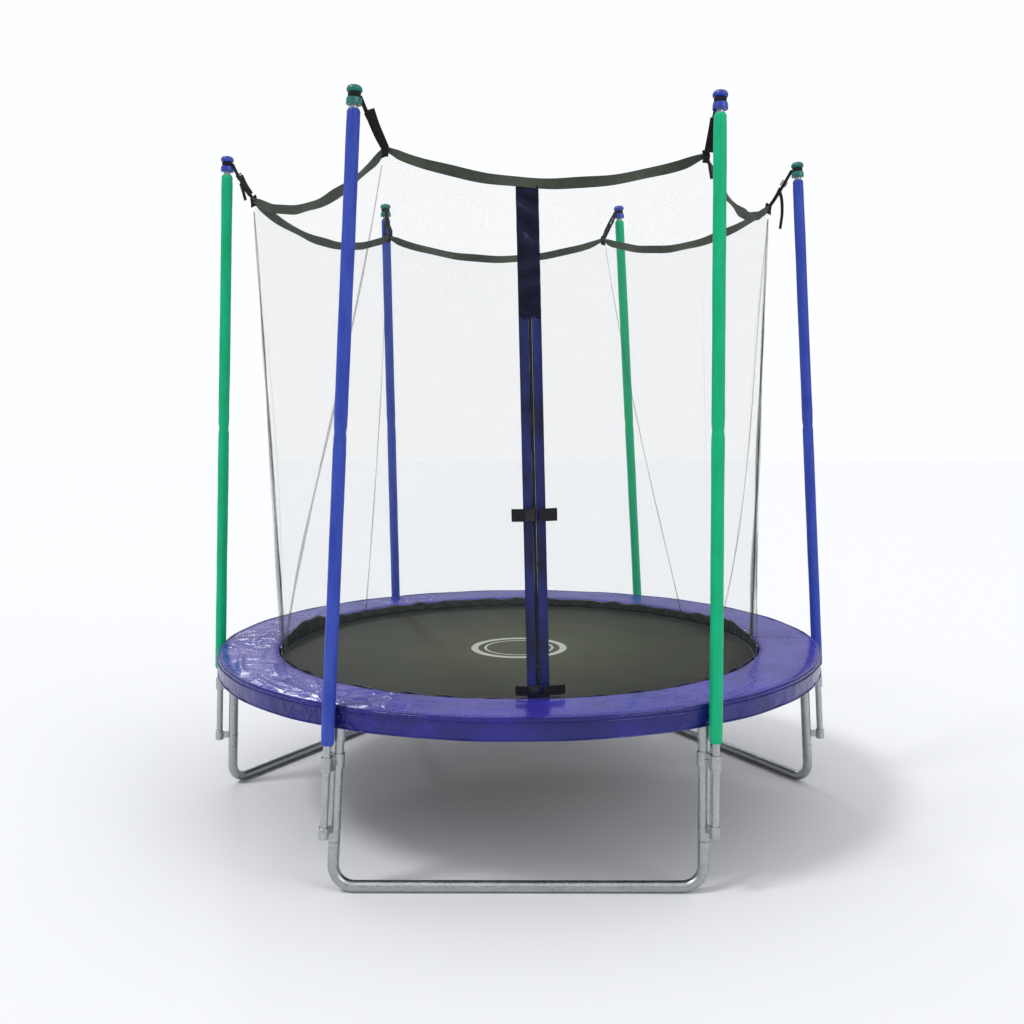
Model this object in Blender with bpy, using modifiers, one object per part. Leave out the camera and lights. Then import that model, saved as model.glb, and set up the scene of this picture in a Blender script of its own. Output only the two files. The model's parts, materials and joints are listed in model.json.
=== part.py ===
"""A round garden trampoline with a safety net hung inside six sleeved poles.

Metres, +Z up. The origin is on the floor under the centre of the jumping mat.
The zipped entrance faces -Y. Stations are numbered anticlockwise from +X.
"""

import math

import bmesh
import bpy
from mathutils import Matrix, Vector

# Overall sizes
STATIONS = 6
RAIL_RING = 1.190
PAD_TOP = 0.630
POLE_RISE = 1.951
TWIST = math.radians(3.5)
NET_TWIST = math.radians(5.7)
GAP = 0.0003

# Rings that follow the steel ring
POLE_FROM_RAIL = 0.055
POLE_LEAN = 0.097
STRAP_REACH = 0.103
SPRING_SPAN = 0.190
PAD_OVER_MAT = 0.019
POLE_RING = RAIL_RING + POLE_FROM_RAIL
CAP_RING = POLE_RING - POLE_LEAN
NET_CORNER_RING = CAP_RING - STRAP_REACH
MAT_RADIUS = RAIL_RING - SPRING_SPAN
PAD_INNER = MAT_RADIUS - PAD_OVER_MAT

# Steel frame
RAIL_RADIUS = 0.019
RAIL_UNDER_PAD = 0.004
TUBE_WALL = 0.0020
SPIGOT_LENGTH = 0.050
SPIGOT_CLEARANCE = 0.0010
SQUARE_RUN = 0.004
SOCKET_WALL = 0.0030
SOCKET_DEPTH = 0.055
SOCKET_CLEARANCE = 0.0008
LEG_RADIUS = 0.019
LEG_SPLIT_Z = 0.170
BASE_BEND = 0.070

# Poles, their sleeves and what holds them
POLE_RADIUS = 0.0127
POLE_FOOT_Z = 0.200
CUP_WALL = 0.0040
CUP_DEPTH = 0.035
CLAMP_Z = 0.440
CLAMP_HEIGHT = 0.050
CLAMP_WALL = 0.005
CLAMP_CLEARANCE = 0.0010
BOLT_HEAD_RADIUS = 0.0075
BOLT_HEAD_HEIGHT = 0.005
SLEEVE_WALL = 0.0080
SLEEVE_CLEARANCE = 0.0013
SLEEVE_RADIUS = POLE_RADIUS + SLEEVE_CLEARANCE + SLEEVE_WALL
SLEEVE_FOOT_Z = 0.505
BARE_TUBE = 0.012

# Pole caps
CAP_CLEARANCE = 0.0008
CAP_WALL = 0.0035
CAP_FLANGE = 0.0080
COLLAR_HEIGHT = 0.022
NECK_HEIGHT = 0.016
KNOB_HEIGHT = 0.024
CAP_BORE_DEPTH = 0.036
NECK_RADIUS = POLE_RADIUS + CAP_CLEARANCE + CAP_WALL
COLLAR_RADIUS = NECK_RADIUS + CAP_FLANGE
KNOB_RADIUS = NECK_RADIUS + CAP_FLANGE

# Jumping surface
MAT_THICKNESS = 0.003
MAT_OVER_RAIL = 0.003
SPRINGS = 48
SPRING_RADIUS = 0.010
SPRING_TO_MAT = 0.012
SPRING_TO_RAIL = 0.009
HOOK_RADIUS = 0.002

# Safety pad
PAD_THICKNESS = 0.025
PAD_TO_POLE = 0.003
SKIRT_DROP = 0.078
SKIRT_THICKNESS = 0.003

# Net, band and hanging straps
NET_THICKNESS = 0.004
NET_TO_PAD = 0.009
NET_FOOT = 0.005
NET_CORNER_DROP = 0.181
BAND_HEIGHT = 0.034
BAND_THICKNESS = 0.003
BAND_SAG = 0.095
NET_TO_BAND = 0.0022
PANEL_MARGIN = 0.004
PANEL_STEPS = 6
STRAP_WIDTH = 0.022
STRAP_THICKNESS = 0.003
STRAP_TO_CAP = 0.005

# Entrance
ENTRY_X_LOW = 0.055
ENTRY_X_HIGH = 0.022
ENTRY_STRIP = 0.032
ZIP_WIDTH = 0.010
ZIP_HEAD_Z = 1.876
SLIDER_REST_Z = 0.730
SLIDER_SIZE = Vector((0.012, 0.003, 0.016))
EYE_SIZE = Vector((0.003, 0.0045, 0.009))
EYE_HOLE_RADIUS = 0.0014
PULL_SIZE = Vector((0.008, 0.0015, 0.034))
PULL_WINDOW = Vector((0.0046, 0.004, 0.0062))

# Buckles
BUCKLE_STANDOFF = 0.011
UPPER_BUCKLE_Z = 1.233
LOWER_BUCKLE_LIFT = 0.024
UPPER_BUCKLE_HEIGHT = 0.046
LOWER_BUCKLE_HEIGHT = 0.036
SOCKET_SIZE = Vector((0.034, 0.012))
PLUG_SIZE = Vector((0.020, 0.012))
TONGUE_SIZE = Vector((0.022, 0.006))
TONGUE_MARGIN = 0.012
TONGUE_CLEARANCE = 0.001
BUCKLE_GAP = 0.001
SOCKET_TAB = 0.046
UPPER_PLUG_TAB = 0.058
LOWER_PLUG_TAB = 0.072
TAB_THICKNESS = 0.002
TAB_MARGIN = 0.004

STATION_STEP = 2 * math.pi / STATIONS
FRONT_STATION = 4

BLUE = (0.052, 0.085, 0.330)
GREEN = (0.002, 0.360, 0.150)
CAP_BLUE = (0.030, 0.110, 0.350)
CAP_TEAL = (0.020, 0.110, 0.090)
STEEL = (0.60, 0.61, 0.62)
PAD_BLUE = (0.080, 0.080, 0.330)
BLACK = (0.012, 0.012, 0.013)
MAT_BLACK = (0.050, 0.050, 0.045)
NAVY = (0.022, 0.035, 0.100)
NET_GREY = (0.300, 0.310, 0.300)


# Scene and materials


def clear_scene():
    for obj in list(bpy.data.objects):
        bpy.data.objects.remove(obj)
    parts = bpy.data.collections.new("trampoline")
    cutters = bpy.data.collections.new("cutters")
    bpy.context.scene.collection.children.link(parts)
    bpy.context.scene.collection.children.link(cutters)
    return parts, cutters


def material(name, colour, roughness, metallic=0.0):
    made = bpy.data.materials.new(name)
    made.use_nodes = True
    shader = made.node_tree.nodes["Principled BSDF"]
    shader.inputs["Base Color"].default_value = (*colour, 1)
    shader.inputs["Roughness"].default_value = roughness
    shader.inputs["Metallic"].default_value = metallic
    return made


PARTS, CUTTERS = clear_scene()


def add_object(name, mesh, collection=PARTS):
    obj = bpy.data.objects.new(name, mesh)
    collection.objects.link(obj)
    return obj


def paint(obj, colour, roughness, metallic=0.0):
    """Gives the object its own material, kept on the object because copies share a mesh."""
    if not obj.data.materials:
        obj.data.materials.append(None)
    slot = obj.material_slots[0]
    slot.link = "OBJECT"
    slot.material = material(obj.name, colour, roughness, metallic)
    return obj


# Shapes


def baked(obj):
    """The object as one plain mesh in world space, under the same name."""
    bpy.context.view_layer.update()
    graph = bpy.context.evaluated_depsgraph_get()
    mesh = bpy.data.meshes.new_from_object(obj.evaluated_get(graph))
    mesh.transform(obj.matrix_world)
    shape = bmesh.new()
    shape.from_mesh(mesh)
    bmesh.ops.remove_doubles(shape, verts=shape.verts, dist=1e-6)
    bmesh.ops.recalc_face_normals(shape, faces=shape.faces)
    shape.to_mesh(mesh)
    shape.free()
    name = obj.name
    collection = obj.users_collection[0]
    bpy.data.objects.remove(obj)
    mesh.materials.clear()
    mesh.name = name
    return add_object(name, mesh, collection)


def cutter(obj):
    obj.hide_render = True
    obj.display_type = "WIRE"
    for collection in obj.users_collection:
        collection.objects.unlink(obj)
    CUTTERS.objects.link(obj)
    return obj


def boolean(obj, other, operation):
    """Cuts `other` from the object, or joins it to it, and keeps the result as a plain mesh."""
    cutter(other)
    modifier = obj.modifiers.new(operation.lower(), "BOOLEAN")
    modifier.operation = operation
    modifier.solver = "EXACT"
    modifier.object = other
    return baked(obj)


def cut(obj, other):
    return boolean(obj, other, "DIFFERENCE")


def join(obj, other):
    return boolean(obj, other, "UNION")


def from_bmesh(name, shape):
    mesh = bpy.data.meshes.new(name)
    shape.to_mesh(mesh)
    shape.free()
    return add_object(name, mesh)


def box(name, size, place):
    """A box of this size, centred in the frame `place`."""
    shape = bmesh.new()
    bmesh.ops.create_cube(shape, size=1.0)
    bmesh.ops.scale(shape, vec=size, verts=shape.verts)
    bmesh.ops.transform(shape, matrix=place, verts=shape.verts)
    return from_bmesh(name, shape)


def rod(name, start, end, radius, sides=12):
    """A solid cylinder from one point to another."""
    shape = bmesh.new()
    run = end - start
    turn = run.to_track_quat("Z", "X").to_matrix().to_4x4()
    place = Matrix.Translation((start + end) / 2) @ turn
    bmesh.ops.create_cone(
        shape, cap_ends=True, segments=sides, radius1=radius, radius2=radius, depth=run.length, matrix=place
    )
    obj = from_bmesh(name, shape)
    obj.data.shade_smooth()
    obj.data.set_sharp_from_angle(angle=math.radians(40))
    return obj


def tube(name, points, radius):
    """A round bar along a list of points, made a mesh with its caps welded on."""
    curve = bpy.data.curves.new(name, "CURVE")
    curve.dimensions = "3D"
    curve.bevel_depth = radius
    curve.bevel_resolution = 3
    curve.use_fill_caps = True
    spline = curve.splines.new("POLY")
    spline.points.add(len(points) - 1)
    for point, place in zip(spline.points, points):
        point.co = (*place, 1)
    return baked(add_object(name, curve))


def turned(name, profile, steps, closed, place):
    """A turned shape: its profile of (radius, height) runs down the outer side."""
    shape = bmesh.new()
    points = [shape.verts.new((radius, 0, height)) for radius, height in profile]
    ends = points[1:] + points[:1] if closed else points[1:]
    for first, second in zip(points, ends):
        shape.edges.new((first, second))
    obj = from_bmesh(name, shape)
    screw = obj.modifiers.new("turn", "SCREW")
    screw.steps = steps
    screw.render_steps = steps
    screw.use_merge_vertices = True
    screw.merge_threshold = 0.00005
    obj.matrix_world = place
    return baked(obj)


def ribbon(name, point, across, along, thickness, closed=False):
    """A sheet of even thickness through point(s, t), with s and t from 0 to 1."""
    shape = bmesh.new()
    columns = range(across if closed else across + 1)
    grid = [[shape.verts.new(point(i / across, j / along)) for j in range(along + 1)] for i in columns]
    if closed:
        grid.append(grid[0])
    for left, right in zip(grid, grid[1:]):
        for j in range(along):
            shape.faces.new((left[j], right[j], right[j + 1], left[j + 1]))
    obj = from_bmesh(name, shape)
    solidify = obj.modifiers.new("thickness", "SOLIDIFY")
    solidify.thickness = thickness
    solidify.offset = 0.0
    return baked(obj)


def filleted(corners, radius, steps=5):
    """The corner points of a bent tube with each inner corner rounded to this radius."""
    points = [corners[0]]
    for before, corner, after in zip(corners, corners[1:], corners[2:]):
        back = (before - corner).normalized()
        on = (after - corner).normalized()
        half = back.angle(on) / 2
        reach = radius / math.tan(half)
        centre = corner + (back + on).normalized() * radius / math.sin(half)
        start = (corner + back * reach - centre).normalized()
        end = (corner + on * reach - centre).normalized()
        points += [centre + start.slerp(end, k / steps) * radius for k in range(steps + 1)]
    points.append(corners[-1])
    return points


def round_stations(obj, name):
    """One object at each station, turned from the first, which shares its mesh."""
    copies = [obj]
    for number in range(1, STATIONS):
        copy = obj.copy()
        copy.rotation_euler.z = number * STATION_STEP
        PARTS.objects.link(copy)
        copies.append(copy)
    for number, copy in enumerate(copies, start=1):
        copy.name = f"{name}_{number}"
    return copies


# Lines and surfaces that the pieces share


def polar(radius, angle, z):
    return Vector((radius * math.cos(angle), radius * math.sin(angle), z))


POLE_LOW = polar(POLE_RING, 0, PAD_TOP)
POLE_HIGH = polar(CAP_RING, TWIST, PAD_TOP + POLE_RISE)
POLE_AXIS = (POLE_HIGH - POLE_LOW).normalized()


def on_pole(z):
    """The point of the first pole's axis at this height."""
    return POLE_LOW + POLE_AXIS * ((z - PAD_TOP) / POLE_AXIS.z)


def rail_z():
    """The rail's centre, just under the pad."""
    return PAD_TOP - PAD_THICKNESS - RAIL_RADIUS - RAIL_UNDER_PAD


def spigot_radius(tube_radius):
    """A spigot that slides into a tube of this outer radius."""
    return tube_radius - TUBE_WALL - SPIGOT_CLEARANCE


MAT_Z = rail_z() + MAT_OVER_RAIL
LEG_SHIFT = on_pole(rail_z()).x - RAIL_RING


def on_leg(z):
    """The point of the first leg's axis at this height. The leg runs beside the pole."""
    return on_pole(z) - Vector((LEG_SHIFT, 0, 0))


def pole_frame(along):
    """A frame on the first pole's axis, `along` metres below its top, with Z up the pole."""
    x_axis = Vector((1, 0, 0))
    x_axis = (x_axis - POLE_AXIS * x_axis.dot(POLE_AXIS)).normalized()
    y_axis = POLE_AXIS.cross(x_axis)
    frame = Matrix((x_axis, y_axis, POLE_AXIS)).transposed().to_4x4()
    frame.translation = POLE_HIGH - POLE_AXIS * along
    return frame


NET_FOOT_RING = PAD_INNER - NET_TO_PAD
NET_FOOT_Z = MAT_Z + NET_FOOT
CORNER_Z = PAD_TOP + POLE_RISE - NET_CORNER_DROP


def band_point(panel, t, lift):
    """A point on the net's top edge: t along the panel from its station, lift above the band's centre."""
    start = polar(NET_CORNER_RING, panel * STATION_STEP + NET_TWIST, CORNER_Z)
    end = polar(NET_CORNER_RING, (panel + 1) * STATION_STEP + NET_TWIST, CORNER_Z)
    point = start.lerp(end, t)
    point.z += lift - BAND_SAG * 4 * t * (1 - t)
    return point


def net_line(panel, angle, t):
    """The low and high ends of a straight line in the net."""
    low = polar(NET_FOOT_RING, angle, NET_FOOT_Z)
    high = band_point(panel, t, -BAND_HEIGHT / 2 - NET_TO_BAND)
    return low, high


def entry_place(offset):
    """The foot's angle and the share of the band, of an upright line offset from the entrance's middle."""
    angle = 1.5 * math.pi + math.asin((ENTRY_X_LOW + offset) / NET_FOOT_RING)
    left = band_point(FRONT_STATION, 0, 0)
    right = band_point(FRONT_STATION, 1, 0)
    return angle, (ENTRY_X_HIGH + offset - left.x) / (right.x - left.x)


def entry_line(offset):
    return net_line(FRONT_STATION, *entry_place(offset))


def entry_point(offset, z):
    low, high = entry_line(offset)
    return low.lerp(high, (z - low.z) / (high.z - low.z))


def entry_frame(z):
    """A frame on the entrance: X across it to the right, Z up the zip, -Y outwards."""
    low, high = entry_line(0)
    z_axis = (high - low).normalized()
    x_axis = entry_point(ENTRY_STRIP, z) - entry_point(-ENTRY_STRIP, z)
    x_axis = (x_axis - z_axis * x_axis.dot(z_axis)).normalized()
    frame = Matrix((x_axis, z_axis.cross(x_axis), z_axis)).transposed().to_4x4()
    frame.translation = entry_point(0, z)
    return frame


# Steel frame


def rail_arc(start, end, steps):
    """Points along the rail, with a short straight run at each end so that its faces are square."""
    points = [polar(RAIL_RING, start + (end - start) * k / steps, rail_z()) for k in range(steps + 1)]
    lead = polar(SQUARE_RUN, start + math.pi / 2, 0)
    tail = polar(SQUARE_RUN, end + math.pi / 2, 0)
    return [points[0], points[0] + lead, *points[1:-1], points[-1] - tail, points[-1]]


def make_top_rails():
    """Six curved rails. Each has a welded leg socket, a plain end, and a spigot for the next rail."""
    split = -STATION_STEP / 2
    spigot = SPIGOT_LENGTH / RAIL_RING
    slack = SPIGOT_CLEARANCE / RAIL_RING
    rail = tube("top_rail", rail_arc(split, split + STATION_STEP - GAP / RAIL_RING, 8), RAIL_RADIUS)
    inner = RAIL_RADIUS - TUBE_WALL
    bore = tube("rail_bore", rail_arc(split - slack, split + spigot + slack, 3), inner)
    rail = cut(rail, bore)
    next_end = split + STATION_STEP
    radius = spigot_radius(RAIL_RADIUS)
    rail = join(rail, tube("rail_spigot", rail_arc(next_end - slack, next_end + spigot, 3), radius))
    mouth = rail_z() - RAIL_RADIUS - SOCKET_DEPTH
    bore_radius = LEG_RADIUS + SOCKET_CLEARANCE
    rail = join(rail, rod("socket", on_leg(mouth), on_leg(rail_z()), bore_radius + SOCKET_WALL))
    hole = rod("socket_hole", on_leg(mouth - SOCKET_DEPTH), on_leg(rail_z() - RAIL_RADIUS), bore_radius)
    for obj in round_stations(cut(rail, hole), "top_rail"):
        paint(obj, STEEL, 0.35, 1.0)


def make_leg_uprights():
    """Six uprights with a welded cup that the pole's foot stands in, bored for the leg base below."""
    top = on_leg(rail_z() - RAIL_RADIUS - 2 * GAP)
    leg = rod("leg_upright", on_leg(LEG_SPLIT_Z), top, LEG_RADIUS)
    floor_z = POLE_FOOT_Z - CUP_WALL
    cup_radius = POLE_RADIUS + CUP_WALL
    cup = rod("cup", on_pole(floor_z), on_pole(POLE_FOOT_Z + CUP_DEPTH), cup_radius)
    middle = (on_pole(POLE_FOOT_Z) + on_leg(POLE_FOOT_Z)) / 2 + Vector((0, 0, CUP_DEPTH / 2))
    web = box("web", Vector((LEG_SHIFT - LEG_RADIUS, 0.006, CUP_DEPTH * 0.8)), Matrix.Translation(middle))
    leg = join(join(leg, web), cup)
    hole = rod("cup_hole", on_pole(POLE_FOOT_Z - GAP), on_pole(POLE_FOOT_Z + 2 * CUP_DEPTH), POLE_RADIUS + GAP * 3)
    leg = cut(leg, hole)
    bore_top = LEG_SPLIT_Z + SPIGOT_LENGTH + SPIGOT_CLEARANCE
    bore = rod("leg_bore", on_leg(LEG_SPLIT_Z - SPIGOT_LENGTH), on_leg(bore_top), LEG_RADIUS - TUBE_WALL)
    for obj in round_stations(cut(leg, bore), "leg_upright"):
        paint(obj, STEEL, 0.35, 1.0)


def make_leg_bases():
    """Three bent bases on the floor, each with a spigot up into two neighbouring uprights."""
    turn = Matrix.Rotation(STATION_STEP, 3, "Z")
    first = [on_leg(LEG_SPLIT_Z - GAP), on_leg(LEG_RADIUS)]
    corners = first + [turn @ point for point in reversed(first)]
    base = tube("leg_base", filleted(corners, BASE_BEND), LEG_RADIUS)
    for number, rotation in enumerate((Matrix.Identity(3), turn), start=1):
        low = rotation @ on_leg(LEG_SPLIT_Z - SPIGOT_LENGTH / 2)
        high = rotation @ on_leg(LEG_SPLIT_Z + SPIGOT_LENGTH)
        base = join(base, rod(f"base_spigot_{number}", low, high, spigot_radius(LEG_RADIUS)))
    for number, obj in enumerate([base, base.copy(), base.copy()]):
        if number:
            PARTS.objects.link(obj)
        obj.name = f"leg_base_{number + 1}"
        obj.rotation_euler.z = 2 * number * STATION_STEP
        paint(obj, STEEL, 0.35, 1.0)


# Poles


def cap_height():
    return COLLAR_HEIGHT + NECK_HEIGHT + KNOB_HEIGHT


def make_poles():
    end = POLE_HIGH - POLE_AXIS * (cap_height() - CAP_BORE_DEPTH + CAP_CLEARANCE)
    for obj in round_stations(rod("pole", on_pole(POLE_FOOT_Z), end, POLE_RADIUS), "pole"):
        paint(obj, STEEL, 0.3, 1.0)


def make_sleeves():
    """Foam sleeves, drawn over the poles from above the clamp to just below the cap."""
    top = cap_height() + BARE_TUBE
    length = (POLE_HIGH - on_pole(SLEEVE_FOOT_Z)).length - top
    inner = POLE_RADIUS + SLEEVE_CLEARANCE
    profile = [(SLEEVE_RADIUS, 0), (SLEEVE_RADIUS, -length), (inner, -length), (inner, 0)]
    sleeve = turned("pole_sleeve", profile, 16, True, pole_frame(top))
    for number, obj in enumerate(round_stations(sleeve, "pole_sleeve")):
        paint(obj, GREEN if number % 2 else BLUE, 0.45)


def make_caps():
    """Spool-shaped caps: a collar, a neck that the net's strap goes round, and a domed knob."""
    bore = POLE_RADIUS + CAP_CLEARANCE
    shoulder = -KNOB_HEIGHT
    collar = shoulder - NECK_HEIGHT
    profile = [
        (0, 0),
        (KNOB_RADIUS * 0.62, -KNOB_HEIGHT * 0.12),
        (KNOB_RADIUS * 0.94, -KNOB_HEIGHT * 0.42),
        (KNOB_RADIUS, -KNOB_HEIGHT * 0.7),
        (KNOB_RADIUS * 0.9, shoulder),
        (NECK_RADIUS, shoulder),
        (NECK_RADIUS, collar),
        (COLLAR_RADIUS * 0.94, collar),
        (COLLAR_RADIUS, collar - COLLAR_HEIGHT * 0.2),
        (COLLAR_RADIUS, -cap_height()),
        (bore, -cap_height()),
        (bore, CAP_BORE_DEPTH - cap_height()),
        (0, CAP_BORE_DEPTH - cap_height()),
    ]
    cap = turned("pole_cap", profile, 12, False, pole_frame(0))
    for number, obj in enumerate(round_stations(cap, "pole_cap")):
        paint(obj, CAP_BLUE if number % 2 else CAP_TEAL, 0.35)


def make_clamps():
    """A bracket round the pole and the leg at each station, with the head of its bolt."""
    low, high = CLAMP_Z - CLAMP_HEIGHT / 2, CLAMP_Z + CLAMP_HEIGHT / 2
    radius = LEG_RADIUS + CLAMP_WALL
    bracket = rod("pole_clamp", on_leg(low), on_leg(high), radius)
    pole_side = rod("pole_side", on_pole(low), on_pole(high), POLE_RADIUS + CLAMP_WALL)
    middle = (on_leg(CLAMP_Z) + on_pole(CLAMP_Z)) / 2
    frame = pole_frame(0)
    frame.translation = middle
    web = box("clamp_web", Vector((LEG_SHIFT, 0.022, CLAMP_HEIGHT * 0.96)), frame)
    side = frame.col[1].xyz.normalized()
    half = side * (0.011 + BOLT_HEAD_HEIGHT)
    bolt = rod("clamp_bolt", middle - half, middle + half, BOLT_HEAD_RADIUS, 6)
    bracket = join(join(join(bracket, web), pole_side), bolt)
    reach = CLAMP_HEIGHT
    leg_hole = rod("clamp_leg_hole", on_leg(low - reach), on_leg(high + reach), LEG_RADIUS + CLAMP_CLEARANCE)
    pole_hole = rod("clamp_pole_hole", on_pole(low - reach), on_pole(high + reach), POLE_RADIUS + CLAMP_CLEARANCE)
    for obj in round_stations(cut(cut(bracket, leg_hole), pole_hole), "pole_clamp"):
        paint(obj, STEEL, 0.4, 1.0)


# Jumping surface and pad


def make_mat():
    rise = Vector((0, 0, MAT_THICKNESS / 2))
    centre = Vector((0, 0, MAT_Z))
    paint(rod("jump_mat", centre - rise, centre + rise, MAT_RADIUS, 64), MAT_BLACK, 0.8)


def make_springs():
    """The springs as plain bars, joined by a thin ring where their hooks enter the rail."""
    hook_ring = RAIL_RING - RAIL_RADIUS - SPRING_TO_RAIL
    shape = bmesh.new()
    inner = MAT_RADIUS + SPRING_TO_MAT
    length = hook_ring + HOOK_RADIUS / 2 - inner
    for number in range(SPRINGS):
        angle = (number + 0.5) * 2 * math.pi / SPRINGS
        place = (
            Matrix.Translation(polar(inner + length / 2, angle, MAT_Z))
            @ Matrix.Rotation(angle, 4, "Z")
            @ Matrix.Rotation(math.pi / 2, 4, "Y")
        )
        bmesh.ops.create_cone(
            shape,
            cap_ends=True,
            segments=6,
            radius1=SPRING_RADIUS,
            radius2=SPRING_RADIUS,
            depth=length,
            matrix=place,
        )
    bars = from_bmesh("spring_bars", shape)
    rim = HOOK_RADIUS
    profile = [
        (hook_ring + rim, MAT_Z + rim),
        (hook_ring + rim, MAT_Z - rim),
        (hook_ring - rim, MAT_Z - rim),
        (hook_ring - rim, MAT_Z + rim),
    ]
    ring = turned("springs", profile, 2 * SPRINGS, True, Matrix.Identity(4))
    paint(join(ring, bars), STEEL, 0.3, 1.0)


def make_pad():
    """The ring pad over the springs, with the skirt that hangs outside the rail."""
    outer = POLE_RING - SLEEVE_RADIUS - PAD_TO_POLE
    under = PAD_TOP - PAD_THICKNESS
    hem = PAD_TOP - SKIRT_DROP
    profile = [
        (outer, PAD_TOP),
        (outer, hem),
        (outer - SKIRT_THICKNESS, hem),
        (outer - SKIRT_THICKNESS, under),
        (PAD_INNER, under),
        (PAD_INNER, PAD_TOP),
    ]
    paint(turned("safety_pad", profile, 72, True, Matrix.Identity(4)), PAD_BLUE, 0.3)


# Net


def panel_edge(t):
    """The foot's angle and the share of the band at t along the front panel."""
    return (FRONT_STATION + t) * STATION_STEP, t


def make_net_panel(name, panel, start, end, steps):
    """A panel of net between two upright lines, each given by its foot's angle and share of the band."""

    def point(s, v):
        angle, t = (a + (b - a) * s for a, b in zip(start, end))
        low, high = net_line(panel, angle, t)
        return low.lerp(high, v)

    paint(ribbon(name, point, steps, 3, NET_THICKNESS), NET_GREY, 0.7)


def make_net_panels():
    """Five whole panels, and the front one in two halves beside the entrance."""
    margin = PANEL_MARGIN
    for panel in range(STATIONS):
        if panel == FRONT_STATION:
            continue
        start = ((panel + margin) * STATION_STEP, margin)
        end = ((panel + 1 - margin) * STATION_STEP, 1 - margin)
        make_net_panel(f"net_panel_{panel + 1}", panel, start, end, PANEL_STEPS)
    half = ZIP_WIDTH / 2 + ENTRY_STRIP + 2 * GAP
    sides = {"left": (panel_edge(margin), entry_place(-half)), "right": (entry_place(half), panel_edge(1 - margin))}
    for side, (start, end) in sides.items():
        make_net_panel(f"net_front_{side}", FRONT_STATION, start, end, PANEL_STEPS - 2)


def make_band():
    """The webbing along the net's top edge, with a strap up to each pole cap sewn in at the corners."""

    def edge(s, t):
        whole = min(int(s * STATIONS + 1e-9), STATIONS - 1)
        return band_point(whole, s * STATIONS - whole, (t - 0.5) * BAND_HEIGHT)

    band = ribbon("net_top_band", edge, STATIONS * PANEL_STEPS, 1, BAND_THICKNESS, closed=True)
    neck = pole_frame(KNOB_HEIGHT + NECK_HEIGHT / 2).translation
    outward = Vector((math.cos(TWIST), math.sin(TWIST), 0))
    upper = neck - outward * (COLLAR_RADIUS + STRAP_TO_CAP)
    lower = band_point(0, 0, 0)
    run = upper - lower
    side = run.cross(outward).normalized()
    frame = Matrix((side, run.normalized().cross(side), run.normalized())).transposed().to_4x4()
    frame.translation = (upper + lower) / 2
    size = Vector((STRAP_WIDTH, STRAP_THICKNESS, run.length))
    for number in range(STATIONS):
        turn = Matrix.Rotation(number * STATION_STEP, 4, "Z")
        band = join(band, box(f"strap_{number + 1}", size, turn @ frame))
    paint(band, BLACK, 0.8)


# Entrance


def strip(name, inner, outer, low_z, high_z, colour, rough):
    """A straight strip of fabric in the entrance. With high_z None it ends at the band."""

    def point(s, t):
        offset = inner + (outer - inner) * s
        low, high = entry_line(offset)
        start = entry_point(offset, low_z)
        end = high if high_z is None else entry_point(offset, high_z)
        return start.lerp(end, t)

    return paint(ribbon(name, point, 1, 1, NET_THICKNESS), colour, rough)


def make_entry_strips():
    edge = ZIP_WIDTH / 2 + GAP
    outer = edge + ENTRY_STRIP
    head = ZIP_HEAD_Z
    strip("entry_strip_left", -outer, -edge, NET_FOOT_Z, head, NAVY, 0.6)
    strip("entry_strip_right", edge, outer, NET_FOOT_Z, head, NAVY, 0.6)
    strip("zip_chain", -ZIP_WIDTH / 2, ZIP_WIDTH / 2, NET_FOOT_Z, head, BLACK, 0.4)
    strip("entry_strip_upper", -outer, outer, head + GAP * 2, None, BLACK, 0.6)


def make_zip_slider():
    """The slider on the outer face of the zip, and the pull whose top bar goes through its eye."""
    frame = entry_frame(SLIDER_REST_Z)
    face = -NET_THICKNESS / 2 - GAP
    slider = box("slider_body", SLIDER_SIZE, frame @ Matrix.Translation((0, face - SLIDER_SIZE.y / 2, 0)))
    eye_y = face - SLIDER_SIZE.y - EYE_SIZE.y / 2 + GAP
    hinge = frame @ Matrix.Translation((0, eye_y, 0))
    slider = join(slider, box("slider_eye", EYE_SIZE, hinge))
    side = hinge.col[0].xyz * EYE_SIZE.x
    slider = cut(slider, rod("eye_hole", hinge.translation - side, hinge.translation + side, EYE_HOLE_RADIUS, 8))
    slider.name = "zip_slider"
    bar = PULL_SIZE.y
    pull = box("zip_pull", PULL_SIZE, hinge @ Matrix.Translation((0, 0, (bar - PULL_SIZE.z) / 2)))
    window_z = -(bar + PULL_WINDOW.z) / 2
    pull = cut(pull, box("pull_window", PULL_WINDOW, hinge @ Matrix.Translation((0, 0, window_z))))
    set_origin(slider, frame.translation)
    set_origin(pull, hinge.translation)
    paint(slider, BLACK, 0.3)
    paint(pull, BLACK, 0.3)


def set_origin(obj, point):
    """Moves a moving piece's origin onto its joint without moving the piece."""
    obj.data.transform(Matrix.Translation(-point))
    obj.location = point


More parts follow.
